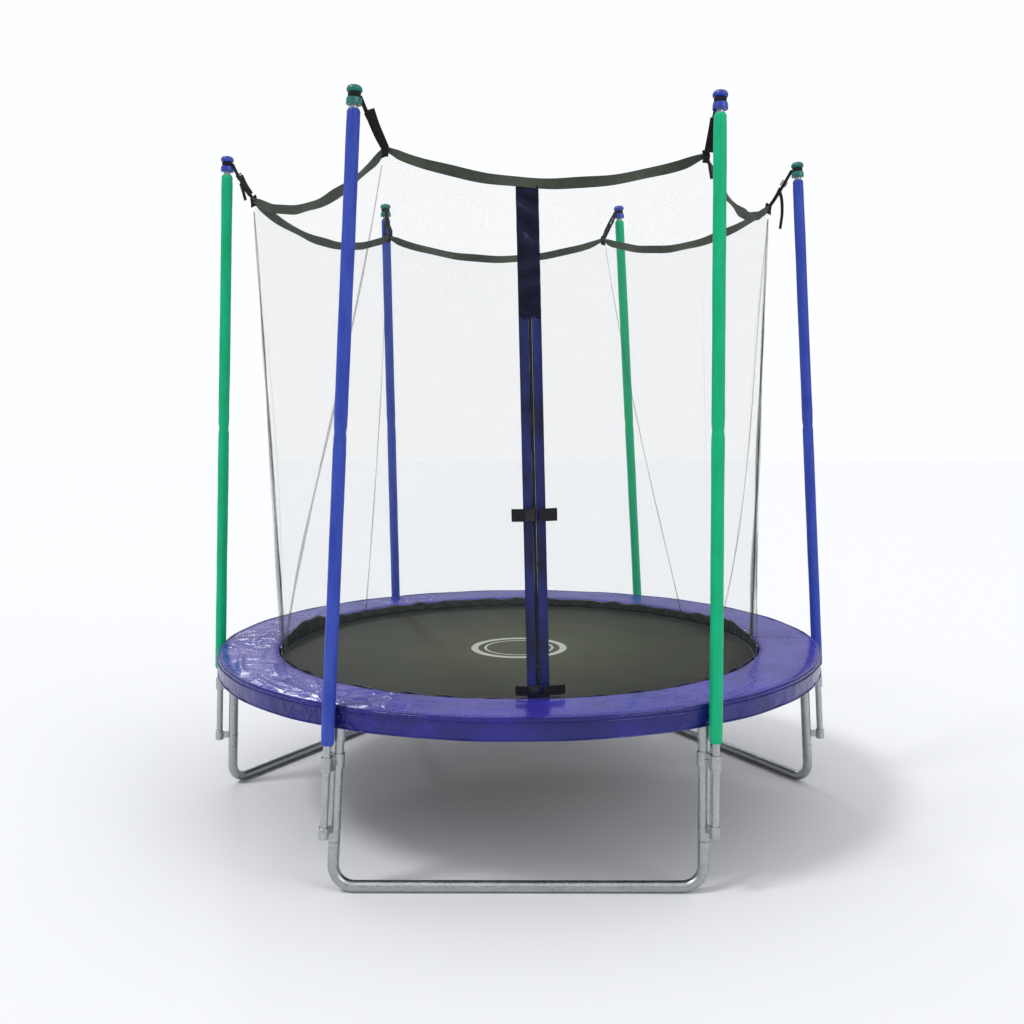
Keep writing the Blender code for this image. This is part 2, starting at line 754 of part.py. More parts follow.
def make_buckle(name, z, height, plug_tab):
    """A side-release buckle across the zip: the socket on the left, the plug on the right."""
    frame = entry_frame(z)
    depth = -NET_THICKNESS / 2 - BUCKLE_STANDOFF - SOCKET_SIZE.y / 2
    frame = frame @ Matrix.Translation((0, depth, 0))
    half_gap = BUCKLE_GAP / 2

    def placed(x):
        return frame @ Matrix.Translation((x, 0, 0))

    def tab(label, length, x):
        size = Vector((length, TAB_THICKNESS, height - TAB_MARGIN))
        return box(f"{name}_{label}_tab", size, placed(x))

    socket = box(f"{name}_socket", (*SOCKET_SIZE, height), placed(-half_gap - SOCKET_SIZE.x / 2))
    socket = join(socket, tab("socket", SOCKET_TAB, -half_gap - SOCKET_SIZE.x - SOCKET_TAB / 2 + 0.004))
    tongue = Vector((*TONGUE_SIZE, height - TONGUE_MARGIN))
    mouth = tongue + Vector((1, 2, 2)) * TONGUE_CLEARANCE
    socket = cut(socket, box(f"{name}_mouth", mouth, placed(-half_gap - mouth.x / 2 + GAP)))
    plug = box(f"{name}_plug", (*PLUG_SIZE, height), placed(half_gap + PLUG_SIZE.x / 2))
    plug = join(plug, box(f"{name}_tongue", tongue, placed(half_gap - tongue.x / 2 + 0.001)))
    plug = join(plug, tab("plug", plug_tab, half_gap + PLUG_SIZE.x + plug_tab / 2 - 0.004))
    set_origin(plug, frame.translation)
    paint(socket, BLACK, 0.4)
    paint(plug, BLACK, 0.4)


def main():
    make_top_rails()
    make_leg_uprights()
    make_leg_bases()
    make_poles()
    make_sleeves()
    make_caps()
    make_clamps()
    make_mat()
    make_springs()
    make_pad()
    make_net_panels()
    make_band()
    make_entry_strips()
    make_zip_slider()
    make_buckle("upper_buckle", UPPER_BUCKLE_Z, UPPER_BUCKLE_HEIGHT, UPPER_PLUG_TAB)
    make_buckle("lower_buckle", PAD_TOP + LOWER_BUCKLE_LIFT, LOWER_BUCKLE_HEIGHT, LOWER_PLUG_TAB)


main()
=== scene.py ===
"""A round garden trampoline with a zipped safety net, dressed round its CAD frame.

Metres, +Z up. The entrance faces -Y. Stations 1 to 6 run anticlockwise from +X.
"""

import json
import math

import bmesh
import bpy
import numpy as np
from mathutils import Matrix, Vector, noise


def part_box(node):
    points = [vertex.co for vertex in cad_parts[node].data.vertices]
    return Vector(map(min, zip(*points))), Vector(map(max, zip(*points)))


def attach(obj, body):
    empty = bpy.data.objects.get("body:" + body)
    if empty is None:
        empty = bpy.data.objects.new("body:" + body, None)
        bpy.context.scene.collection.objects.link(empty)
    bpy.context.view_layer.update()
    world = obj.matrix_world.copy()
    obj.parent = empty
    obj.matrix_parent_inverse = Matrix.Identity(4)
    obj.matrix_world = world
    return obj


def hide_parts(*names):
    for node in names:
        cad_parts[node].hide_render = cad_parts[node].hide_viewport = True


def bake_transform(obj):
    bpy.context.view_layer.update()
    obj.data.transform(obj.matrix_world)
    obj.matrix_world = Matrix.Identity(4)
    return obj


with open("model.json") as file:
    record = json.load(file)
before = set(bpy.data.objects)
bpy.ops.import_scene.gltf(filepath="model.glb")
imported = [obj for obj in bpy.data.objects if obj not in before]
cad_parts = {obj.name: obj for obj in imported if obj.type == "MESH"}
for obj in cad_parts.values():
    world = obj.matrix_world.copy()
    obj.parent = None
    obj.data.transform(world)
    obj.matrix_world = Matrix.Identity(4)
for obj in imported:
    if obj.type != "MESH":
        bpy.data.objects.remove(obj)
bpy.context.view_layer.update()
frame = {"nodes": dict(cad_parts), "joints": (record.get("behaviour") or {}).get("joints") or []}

STATIONS = 6
STEP = 2 * math.pi / STATIONS
UP = Vector((0, 0, 1))


# Where things are


def corners_of(node):
    """A CAD node's own points, each once."""
    points = np.array([v.co for v in frame["nodes"][node].data.vertices], float)
    return np.unique(np.round(points, 6), axis=0)


def ends(node, reach=0.004):
    """The middles of the lowest and the highest points of an upright bar."""
    points = corners_of(node)
    low = points[points[:, 2] < points[:, 2].min() + reach].mean(0)
    high = points[points[:, 2] > points[:, 2].max() - reach].mean(0)
    return Vector(low), Vector(high)


def on_line(line, z):
    low, high = line
    return low + (high - low) * ((z - low.z) / (high.z - low.z))


def polar(radius, angle, z):
    return Vector((radius * math.cos(angle), radius * math.sin(angle), z))


POLES = [ends(f"pole_{k + 1}") for k in range(STATIONS)]
LEGS = [ends(f"leg_upright_{k + 1}", 0.003) for k in range(STATIONS)]
PAD_LOW, PAD_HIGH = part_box("safety_pad")
PAD_TOP, HEM_Z, PAD_OUTER = PAD_HIGH.z, PAD_LOW.z, PAD_HIGH.x
PAD_CORNERS = corners_of("safety_pad")
PAD_INNER = float(np.hypot(PAD_CORNERS[:, 0], PAD_CORNERS[:, 1]).min())
PAD_UNDER = float(sorted(set(np.round(PAD_CORNERS[:, 2], 4)))[1])
MAT_LOW, MAT_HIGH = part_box("jump_mat")
MAT_TOP, MAT_RADIUS = MAT_HIGH.z, MAT_HIGH.x
SPRINGS = 48
SPRING_STEP = 2 * math.pi / SPRINGS
SPRING_LOW, SPRING_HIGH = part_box("springs")
SPRING_Z = (SPRING_LOW.z + SPRING_HIGH.z) / 2
SPRING_GAP = 0.012
HOOK_RING = SPRING_HIGH.x - 0.002
RAIL_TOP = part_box("top_rail_1")[1].z
RAIL_RADIUS = 0.019
RAIL_RING = HOOK_RING + RAIL_RADIUS + 0.009
RAIL_Z = RAIL_TOP - RAIL_RADIUS
LEG_RADIUS = 0.019
POLE_RADIUS = 0.0127
SLEEVE_RADIUS = 0.022
TUBE_SIDES = 28
NET_FOOT_Z = float(corners_of("net_panel_1")[:, 2].min())
NET_FOOT_RING = PAD_INNER - 0.009
PANEL_WIDTH = 1.05
BAND_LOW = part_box("net_front_left")[1].z
BAND_HEIGHT = 0.034
BAND_SAG = 0.095
CORNER_Z = BAND_LOW + BAND_HEIGHT / 2 + 0.0037
CORNER_RING = 1.045
# The net's corners lie a little further round the ring than the posts.
TWIST = math.radians(5.7)


def placed(x_axis, y_axis, z_axis, spot):
    """A frame with these three axes at a spot."""
    made = Matrix((x_axis, y_axis, z_axis)).transposed().to_4x4()
    made.translation = spot
    return made


def pole_frame(station, along):
    """A frame on a pole's axis, `along` metres below the top of its cap: X outwards, Z up the pole."""
    low, high = POLES[station]
    axis = (high - low).normalized()
    cap = corners_of(f"pole_cap_{station + 1}") @ np.array(axis)
    top = high + axis * (float(cap.max()) - high.dot(axis))
    outward = Vector((high.x, high.y, 0))
    x_axis = (outward - axis * outward.dot(axis)).normalized()
    return placed(x_axis, axis.cross(x_axis), axis, top - axis * along)


def band_point(panel, t, lift=0.0):
    """A point of the net's top edge, t along the panel from its station."""
    start = polar(CORNER_RING, panel * STEP + TWIST, CORNER_Z)
    end = polar(CORNER_RING, (panel + 1) * STEP + TWIST, CORNER_Z)
    point = start.lerp(end, t)
    point.z += lift - BAND_SAG * 4 * t * (1 - t)
    return point


# The entrance: the zip's line, its direction, and the directions across it to the right and outwards.
ZIP_LINE = ends("zip_chain", 0.002)
JOINTS = {joint["name"]: joint for joint in frame["joints"]}
ACROSS = Vector(JOINTS["upper_buckle_release"]["axis"]).normalized()
ZIP_UP = (ZIP_LINE[1] - ZIP_LINE[0]).normalized()
OUT = ACROSS.cross(ZIP_UP).normalized()
PULL_PIVOT = Vector(JOINTS["zip_pull_swing"]["pos_m"])
ZIP_HEAD_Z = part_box("entry_strip_left")[1].z
STRIP_WIDTH = 0.032
ZIP_HALF = 0.005


def entry_point(offset, z, out=0.0):
    """A point of the entrance: metres right of the zip's middle, a height, and metres outwards."""
    return on_line(ZIP_LINE, z) + ACROSS * offset + OUT * out


def entry_line(offset, low, high, steps, out):
    """Evenly spaced points up the entrance."""
    return [entry_point(offset, low + (high - low) * i / steps, out) for i in range(steps + 1)]


def entry_place(origin, across, x=0.0, out=0.0, z=0.0):
    """A frame flat on the entrance: X across, Y inwards and Z up, moved from an origin along each."""
    spot = origin + across * x + OUT * out + ZIP_UP * z
    return placed(across, -OUT, across.cross(-OUT), spot)


# Meshes


def in_scene(name, data):
    """An object for a mesh, a lamp or a camera."""
    obj = bpy.data.objects.new(name, data)
    bpy.context.scene.collection.objects.link(obj)
    return obj


def solid(name, points, faces, sharp=40, closed=True, lay=None):
    """A mesh object with smooth faces and sharp edges past an angle. `lay` is its cloth's own measure."""
    mesh = bpy.data.meshes.new(name)
    mesh.from_pydata([tuple(p) for p in np.asarray(points, float)], [], faces)
    if closed:
        shape = bmesh.new()
        shape.from_mesh(mesh)
        bmesh.ops.recalc_face_normals(shape, faces=shape.faces)
        shape.to_mesh(mesh)
        shape.free()
    if lay is not None:
        spread = mesh.attributes.new("lay", "FLOAT_VECTOR", "POINT")
        spread.data.foreach_set("vector", np.asarray(lay, np.float32).ravel())
    mesh.shade_smooth()
    mesh.set_sharp_from_angle(angle=math.radians(sharp))
    return in_scene(name, mesh)


def skin(rows, columns, close_rows=False, close_columns=False):
    """The quads between the points of a grid, which may close on itself either way."""
    last_row = rows if close_rows else rows - 1
    last_column = columns if close_columns else columns - 1
    r, c = np.meshgrid(np.arange(last_row), np.arange(last_column), indexing="ij")
    r2, c2 = (r + 1) % rows, (c + 1) % columns
    quads = np.stack([r * columns + c, r * columns + c2, r2 * columns + c2, r2 * columns + c], axis=-1)
    return quads.reshape(-1, 4).tolist()


def loft(name, rings, closed=False, sharp=40):
    """Skins rings of points one after another, with capped ends, or right round when closed."""
    rings = np.asarray(rings, float)
    count, sides = rings.shape[:2]
    faces = skin(count, sides, closed, True)
    if not closed:
        faces += [list(range(sides)), list(range((count - 1) * sides, count * sides))]
    middles = rings.mean(1)
    along = np.concatenate([[0], np.cumsum(np.linalg.norm(np.diff(middles, axis=0), axis=1))])
    first = np.concatenate([[0], np.cumsum(np.linalg.norm(np.diff(rings[count // 2], axis=0), axis=1))])
    lay = np.stack(np.broadcast_arrays(along[:, None], first[None, :], 0.0), axis=-1)
    return solid(name, rings.reshape(-1, 3), faces, sharp, True, lay.reshape(-1, 3))


def sweep_frames(points, first_side=None):
    """Side and upward unit vectors along a path, turned as little as possible."""
    points = np.asarray(points, float)
    tangents = np.gradient(points, axis=0)
    tangents /= np.linalg.norm(tangents, axis=1)[:, None]
    side = np.array(first_side if first_side is not None else Vector(tangents[0]).orthogonal(), float)
    sides, ups = [], []
    for tangent in tangents:
        side = side - tangent * side.dot(tangent)
        side = side / np.linalg.norm(side)
        sides.append(side)
        ups.append(np.cross(tangent, side))
    return np.array(sides), np.array(ups)


def tube(name, points, radius, sides=24, closed=False):
    """A round bar along a path. The radius is one number, or one for each point, or each point and side."""
    points = np.asarray(points, float)
    side, up = sweep_frames(points)
    angles = np.arange(sides) * 2 * math.pi / sides
    radius = np.asarray(radius, float)
    if radius.ndim < 2:
        radius = np.broadcast_to(radius.reshape(-1, 1), (len(points), sides))
    around = side[:, None] * np.cos(angles)[None, :, None] + up[:, None] * np.sin(angles)[None, :, None]
    return loft(name, points[:, None] + around * radius[..., None], closed)


def straight_tube(name, low, high, radius):
    """A straight tube whose cut ends are eased by a millimetre."""
    ease = 0.001
    axis = (high - low).normalized()
    path = [low, low + axis * ease, high - axis * ease, high]
    return tube(name, path, [radius - ease, radius, radius, radius - ease], TUBE_SIDES)


def ring_path(radius, z, steps):
    """A level circle that ends where it starts."""
    path = [polar(radius, k * 2 * math.pi / steps, z) for k in range(steps)]
    return path + path[:1]


def turned(name, profile, steps, place, sharp=30):
    """A turned solid from its profile of radius and height, low end first."""
    angles = np.arange(steps) * 2 * math.pi / steps
    pinprick = 0.0002
    rings = []
    for radius, height in profile:
        radius = max(radius, pinprick)
        ring = np.stack([np.cos(angles) * radius, np.sin(angles) * radius, np.full(steps, height)], axis=-1)
        rings.append(ring)
    rings = np.array(rings) @ np.array(place.to_3x3()).T + np.array(place.translation)
    return loft(name, rings, sharp=sharp)


def webbing(name, points, across, width, thickness):
    """A flat strap along a path. `across` is its width's direction, one for all or one for each point."""
    points = np.asarray(points, float)
    across = np.broadcast_to(np.array(across, float), points.shape)
    tangents = np.gradient(points, axis=0)
    tangents /= np.linalg.norm(tangents, axis=1)[:, None]
    across = across - tangents * (across * tangents).sum(1)[:, None]
    across = across / np.linalg.norm(across, axis=1)[:, None]
    normal = np.cross(tangents, across)
    w, t = width / 2, thickness / 2
    round_off = min(t, w) * 0.7
    section = [(-w, -t + round_off), (-w + round_off, -t), (0, -t)]
    section += [(w - round_off, -t), (w, -t + round_off)]
    section += [(-x, -y) for x, y in section]
    rings = [points + across * x + normal * y for x, y in section]
    return loft(name, np.stack(rings, axis=1), sharp=50)


def smooth_path(corners, steps=10):
    """A smooth path through a few points."""
    corners = [Vector(c) for c in corners]
    padded_ends = [corners[0] * 2 - corners[1], *corners, corners[-1] * 2 - corners[-2]]
    path = []
    for a, b, c, d in zip(padded_ends, padded_ends[1:], padded_ends[2:], padded_ends[3:]):
        linear, square, cubic = c - a, a * 2 - b * 5 + c * 4 - d, b * 3 - a - c * 3 + d
        for k in range(steps):
            t = k / steps
            path.append((b * 2 + linear * t + square * t * t + cubic * t**3) / 2)
    return path + [corners[-1]]


def bent(corners, radius, steps=8):
    """The corner points of a bent tube with each inner corner rounded to this radius."""
    points = [corners[0]]
    for before, corner, after in zip(corners, corners[1:], corners[2:]):
        back, on = (before - corner).normalized(), (after - corner).normalized()
        half = back.angle(on) / 2
        centre = corner + (back + on).normalized() * radius / math.sin(half)
        start = (corner + back * radius / math.tan(half) - centre).normalized()
        end = (corner + on * radius / math.tan(half) - centre).normalized()
        points += [centre + start.slerp(end, k / steps) * radius for k in range(steps + 1)]
    return points + [corners[-1]]


def block(name, size, place, round_off=0.001):
    """A box with rounded edges."""
    shape = bmesh.new()
    bmesh.ops.create_cube(shape, size=1)
    bmesh.ops.scale(shape, vec=size, verts=shape.verts)
    bmesh.ops.bevel(shape, geom=shape.edges[:], offset=round_off, segments=3, profile=0.5, affect="EDGES")
    shape.transform(place)
    mesh = bpy.data.meshes.new(name)
    shape.to_mesh(mesh)
    shape.free()
    mesh.shade_smooth()
    mesh.set_sharp_from_angle(angle=math.radians(40))
    return in_scene(name, mesh)


def joined(name, pieces, finish=None):
    """One piece from several that are fixed to each other. The bare ones take the finish."""
    points, faces, lays, slots, mats = [], [], [], [], []
    base = 0
    for piece in pieces:
        mesh = piece.data
        if finish and not mesh.materials:
            mesh.materials.append(FINISH[finish])
        for material in mesh.materials:
            if material not in mats:
                mats.append(material)
        points += [v.co.copy() for v in mesh.vertices]
        lay = mesh.attributes.get("lay")
        lays += [d.vector.copy() for d in lay.data] if lay else [v.co.copy() for v in mesh.vertices]
        for face in mesh.polygons:
            faces.append([base + v for v in face.vertices])
            slots.append(mats.index(mesh.materials[face.material_index]))
        base += len(mesh.vertices)
        bpy.data.objects.remove(piece)
    made = solid(name, points, faces, 40, False, lays)
    for material in mats:
        made.data.materials.append(material)
    made.data.polygons.foreach_set("material_index", np.array(slots, np.int32))
    return made


def finish_piece(obj, finish, body=None, stands_for=()):
    """Gives a piece its finish, the body that it rides on and the CAD nodes that it replaces."""
    if finish:
        obj.data.materials.clear()
        obj.data.materials.append(FINISH[finish])
    if body:
        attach(obj, body)
    if stands_for:
        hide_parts(*stands_for)
    return obj


def crumple(points, size, seed):
    """A number from about -1 to 1 at each point, which changes over `size` metres."""
    shift = Vector((seed * 3.1, seed * 1.7, seed * 2.3))
    points = np.asarray(points, float).reshape(-1, 3) / np.asarray(size, float)
    return np.array([noise.noise(Vector(p) + shift) for p in points])


def hump(distance, width):
    """1 at no distance, falling smoothly to nothing within about two widths."""
    return np.exp(-((distance / width) ** 2))


# Pieces that repeat


def add(tree, kind, inputs=None, **settings):
    """Adds a node with its settings. Its inputs take values, sockets, or nodes by their first live output."""
    made = tree.nodes.new(kind)
    for key, value in settings.items():
        setattr(made, key, value)
    for key, value in (inputs or {}).items():
        if isinstance(value, bpy.types.Node):
            value = next(output for output in value.outputs if output.enabled)
        if isinstance(value, bpy.types.NodeSocket):
            tree.links.new(value, made.inputs[key])
        else:
            made.inputs[key].default_value = value
    return made


def input_ids(tree):
    return {item.name: item.identifier for item in tree.interface.items_tree if item.in_out == "INPUT"}


def new_tree(name, inputs):
    tree = bpy.data.node_groups.new(name, "GeometryNodeTree")
    tree.interface.new_socket("Geometry", in_out="INPUT", socket_type="NodeSocketGeometry")
    for label, kind in inputs:
        tree.interface.new_socket(label, in_out="INPUT", socket_type="NodeSocket" + kind)
    tree.interface.new_socket("Geometry", in_out="OUTPUT", socket_type="NodeSocketGeometry")
    return tree


def round_ring_tree():
    """Puts copies of one piece round a ring, each facing outwards."""
    kinds = [("Piece", "Object"), ("Count", "Int"), ("First angle", "Float"), ("Step angle", "Float")]
    kinds += [("Radius", "Float"), ("Height", "Float"), ("Finish", "Material")]
    tree = new_tree("pieces round a ring", kinds)
    given = add(tree, "NodeGroupInput").outputs
    index = add(tree, "GeometryNodeInputIndex").outputs[0]
    angle = {0: index, 1: given["Step angle"], 2: given["First angle"]}
    turn = add(tree, "ShaderNodeMath", angle, operation="MULTIPLY_ADD")
    cos = add(tree, "ShaderNodeMath", {0: turn.outputs[0]}, operation="COSINE").outputs[0]
    sin = add(tree, "ShaderNodeMath", {0: turn.outputs[0]}, operation="SINE").outputs[0]
    x = add(tree, "ShaderNodeMath", {0: cos, 1: given["Radius"]}, operation="MULTIPLY").outputs[0]
    y = add(tree, "ShaderNodeMath", {0: sin, 1: given["Radius"]}, operation="MULTIPLY").outputs[0]
    place = add(tree, "ShaderNodeCombineXYZ", {0: x, 1: y, 2: given["Height"]}).outputs[0]
    spots = add(tree, "GeometryNodePoints", {0: given["Count"], 1: place}).outputs[0]
    facing = add(tree, "ShaderNodeCombineXYZ", {2: turn.outputs[0]}).outputs[0]
    piece = add(tree, "GeometryNodeObjectInfo", {"Object": given["Piece"]}).outputs["Geometry"]
    turned_to = add(tree, "FunctionNodeEulerToRotation", {0: facing}).outputs[0]
    one_each = {"Points": spots, "Instance": piece, "Rotation": turned_to}
    copies = add(tree, "GeometryNodeInstanceOnPoints", one_each)
    real = add(tree, "GeometryNodeRealizeInstances", {0: copies.outputs[0]})
    done = add(tree, "GeometryNodeSetMaterial", {"Geometry": real.outputs[0], "Material": given["Finish"]})
    add(tree, "NodeGroupOutput", {0: done.outputs[0]})
    return tree


def along_path_tree():
    """Puts small rounded lumps, such as stitches or zip teeth, along a path."""
    kinds = [("Spacing", "Float"), ("Length", "Float"), ("Width", "Float"), ("Height", "Float")]
    kinds += [("Turn", "Vector"), ("Follow", "Bool"), ("Finish", "Material")]
    tree = new_tree("lumps along a path", kinds)
    given = add(tree, "NodeGroupInput").outputs
    curve = add(tree, "GeometryNodeMeshToCurve", {0: given["Geometry"]}).outputs[0]
    upright = add(tree, "GeometryNodeSetCurveNormal", {0: curve}, mode="Z_UP").outputs[0]
    spacing = {"Curve": upright, "Length": given["Spacing"]}
    spots = add(tree, "GeometryNodeCurveToPoints", spacing, mode="LENGTH").outputs
    lump = add(tree, "GeometryNodeMeshUVSphere", {"Segments": 6, "Rings": 4, "Radius": 0.5})
    sides = {0: given["Width"], 1: given["Height"], 2: given["Length"]}
    size = add(tree, "ShaderNodeCombineXYZ", sides).outputs[0]
    sized = add(tree, "GeometryNodeTransform", {"Geometry": lump.outputs[0], "Scale": size}).outputs[0]
    fixed = add(tree, "FunctionNodeEulerToRotation", {0: given["Turn"]}).outputs[0]
    either = {"Switch": given["Follow"], "False": fixed, "True": spots["Rotation"]}
    choice = add(tree, "GeometryNodeSwitch", either, input_type="ROTATION").outputs[0]
    ready = add(tree, "GeometryNodeSetShadeSmooth", {0: sized}).outputs[0]
    one_each = {"Points": spots["Points"], "Instance": ready, "Rotation": choice}
    copies = add(tree, "GeometryNodeInstanceOnPoints", one_each)
    real = add(tree, "GeometryNodeRealizeInstances", {0: copies.outputs[0]})
    done = add(tree, "GeometryNodeSetMaterial", {"Geometry": real.outputs[0], "Material": given["Finish"]})
    add(tree, "NodeGroupOutput", {0: done.outputs[0]})
    return tree


def grown(name, tree, values, path=()):
    """A plain mesh piece from a tree of nodes, its inputs and, for some, a path."""
    mesh = bpy.data.meshes.new(name + " path")
    mesh.from_pydata([tuple(p) for p in path], [(k, k + 1) for k in range(len(path) - 1)], [])
    holder = in_scene(name + " path", mesh)
    modifier = holder.modifiers.new("grow", "NODES")
    modifier.node_group = tree
    ids = input_ids(tree)
    for label, value in values.items():
        modifier[ids[label]] = value
    bpy.context.view_layer.update()
    graph = bpy.context.evaluated_depsgraph_get()
    made = bpy.data.meshes.new_from_object(holder.evaluated_get(graph))
    made.name = name
    bpy.data.objects.remove(holder)
    return in_scene(name, made)


# Finishes


def colour(text):
    """A linear colour from an sRGB hex value."""
    parts = [int(text[k : k + 2], 16) / 255 for k in (1, 3, 5)]
    return (*(p / 12.92 if p <= 0.04045 else ((p + 0.055) / 1.055) ** 2.4 for p in parts), 1.0)


def new_finish(name):
    """An empty material and its tree of nodes."""
    material = bpy.data.materials.new(name)
    material.use_nodes = True
    material.node_tree.nodes.clear()
    return material, material.node_tree


def bands(pitch):
    """The Wave texture's scale for bands this many metres apart."""
    return 2 * math.pi / (20 * pitch)


def galvanised_steel(name, pale, dark, rough):
    """Hot-dip galvanised or plated steel: a dull silver with faint crystals about 7 mm across."""
    material, tree = new_finish(name)
    place = add(tree, "ShaderNodeTexCoord").outputs["Object"]
    crystals = add(tree, "ShaderNodeTexVoronoi", {"Vector": place, "Scale": 140.0}).outputs["Color"]
    grey = add(tree, "ShaderNodeRGBToBW", {0: crystals})
    cloud = add(tree, "ShaderNodeTexNoise", {"Vector": place, "Scale": 9.0, "Detail": 5.0})
    both = add(tree, "ShaderNodeMix", {0: 0.45, 2: cloud, 3: grey})
    tint = add(tree, "ShaderNodeMix", {0: both, 6: colour(dark), 7: colour(pale)}, data_type="RGBA")
    polish = add(tree, "ShaderNodeMapRange", {0: both, 1: 0.2, 2: 0.8, 3: rough - 0.08, 4: rough + 0.10})
    relief = add(tree, "ShaderNodeBump", {"Height": both, "Distance": 0.00008})
    sockets = {"Base Color": tint, "Metallic": 1.0, "Roughness": polish, "Normal": relief}
    shader = add(tree, "ShaderNodeBsdfPrincipled", sockets)
    add(tree, "ShaderNodeOutputMaterial", {"Surface": shader})
    return material


def coated_fabric(name, pale, dark, rough, creases, depth, stretch, gloss, tint="#ffffff"):
    """Cloth with a plastic coat: a fine thread grid under a film whose shine breaks up in soft creases."""
    material, tree = new_finish(name)
    place = add(tree, "ShaderNodeTexCoord").outputs["Object"]
    drawn = add(tree, "ShaderNodeMapping", {"Vector": place, "Scale": stretch})
    clouds = {"Vector": drawn, "Scale": creases, "Detail": 6.0, "Roughness": 0.6}
    soft = add(tree, "ShaderNodeTexNoise", clouds)
    lay = add(tree, "ShaderNodeAttribute", attribute_name="lay").outputs["Vector"]
    weft = add(tree, "ShaderNodeTexWave", {"Vector": lay, "Scale": bands(0.0012)}, bands_direction="X")
    warp = add(tree, "ShaderNodeTexWave", {"Vector": lay, "Scale": bands(0.0012)}, bands_direction="Y")
    crossing = {0: weft.outputs["Fac"], 1: warp.outputs["Fac"]}
    thread = add(tree, "ShaderNodeMath", crossing, operation="MULTIPLY")
    height = add(tree, "ShaderNodeMath", {0: thread, 1: 0.02, 2: soft}, operation="MULTIPLY_ADD")
    fade = add(tree, "ShaderNodeMapRange", {0: soft, 1: 0.3, 2: 0.7})
    shade = add(tree, "ShaderNodeMix", {0: fade, 6: colour(dark), 7: colour(pale)}, data_type="RGBA")
    polish = add(tree, "ShaderNodeMapRange", {0: soft, 1: 0.3, 2: 0.7, 3: rough - 0.05, 4: rough + 0.08})
    relief = add(tree, "ShaderNodeBump", {"Height": height, "Distance": depth})
    sockets = {"Base Color": shade, "Roughness": polish, "Normal": relief}
    sockets.update({"Specular IOR Level": gloss, "Specular Tint": colour(tint)})
    shader = add(tree, "ShaderNodeBsdfPrincipled", sockets)
    add(tree, "ShaderNodeOutputMaterial", {"Surface": shader})
    return material


def moulded_plastic(name, pale, dark, rough):
    """Injection-moulded plastic: even colour, a slight sheen and faint flow marks."""
    material, tree = new_finish(name)
    place = add(tree, "ShaderNodeTexCoord").outputs["Object"]
    flow = add(tree, "ShaderNodeTexNoise", {"Vector": place, "Scale": 60.0, "Detail": 4.0})
    fade = add(tree, "ShaderNodeMapRange", {0: flow, 1: 0.3, 2: 0.7})
    shade = add(tree, "ShaderNodeMix", {0: fade, 6: colour(dark), 7: colour(pale)}, data_type="RGBA")
    polish = add(tree, "ShaderNodeMapRange", {0: flow, 1: 0.2, 2: 0.8, 3: rough - 0.06, 4: rough + 0.08})
    relief = add(tree, "ShaderNodeBump", {"Height": flow, "Distance": 0.00003})
    sockets = {"Base Color": shade, "Roughness": polish, "Normal": relief, "IOR": 1.49}
    shader = add(tree, "ShaderNodeBsdfPrincipled", sockets)
    add(tree, "ShaderNodeOutputMaterial", {"Surface": shader})
    return material


def woven_webbing(name, pale, dark, rough=0.62, gloss=0.25):
    """Polyester webbing: 2.2 mm ribs across the strap, drawn a little coarse so that they show."""
    material, tree = new_finish(name)
    lay = add(tree, "ShaderNodeAttribute", attribute_name="lay").outputs["Vector"]
    rib = add(tree, "ShaderNodeTexWave", {"Vector": lay, "Scale": bands(0.0022)}, bands_direction="X")
    warp = add(tree, "ShaderNodeTexWave", {"Vector": lay, "Scale": bands(0.0018)}, bands_direction="Y")
    weave = add(tree, "ShaderNodeMix", {0: 0.4, 2: rib.outputs["Fac"], 3: warp.outputs["Fac"]})
    place = add(tree, "ShaderNodeTexCoord").outputs["Object"]
    cloud = add(tree, "ShaderNodeTexNoise", {"Vector": place, "Scale": 30.0, "Detail": 4.0})
    fade = add(tree, "ShaderNodeMix", {0: 0.35, 2: cloud, 3: weave})
    shade = add(tree, "ShaderNodeMix", {0: fade, 6: colour(dark), 7: colour(pale)}, data_type="RGBA")
    relief = add(tree, "ShaderNodeBump", {"Height": weave, "Distance": 0.0003})
    sockets = {"Base Color": shade, "Roughness": rough, "Normal": relief, "Specular IOR Level": gloss}
    shader = add(tree, "ShaderNodeBsdfPrincipled", sockets)
    add(tree, "ShaderNodeOutputMaterial", {"Surface": shader})
    return material


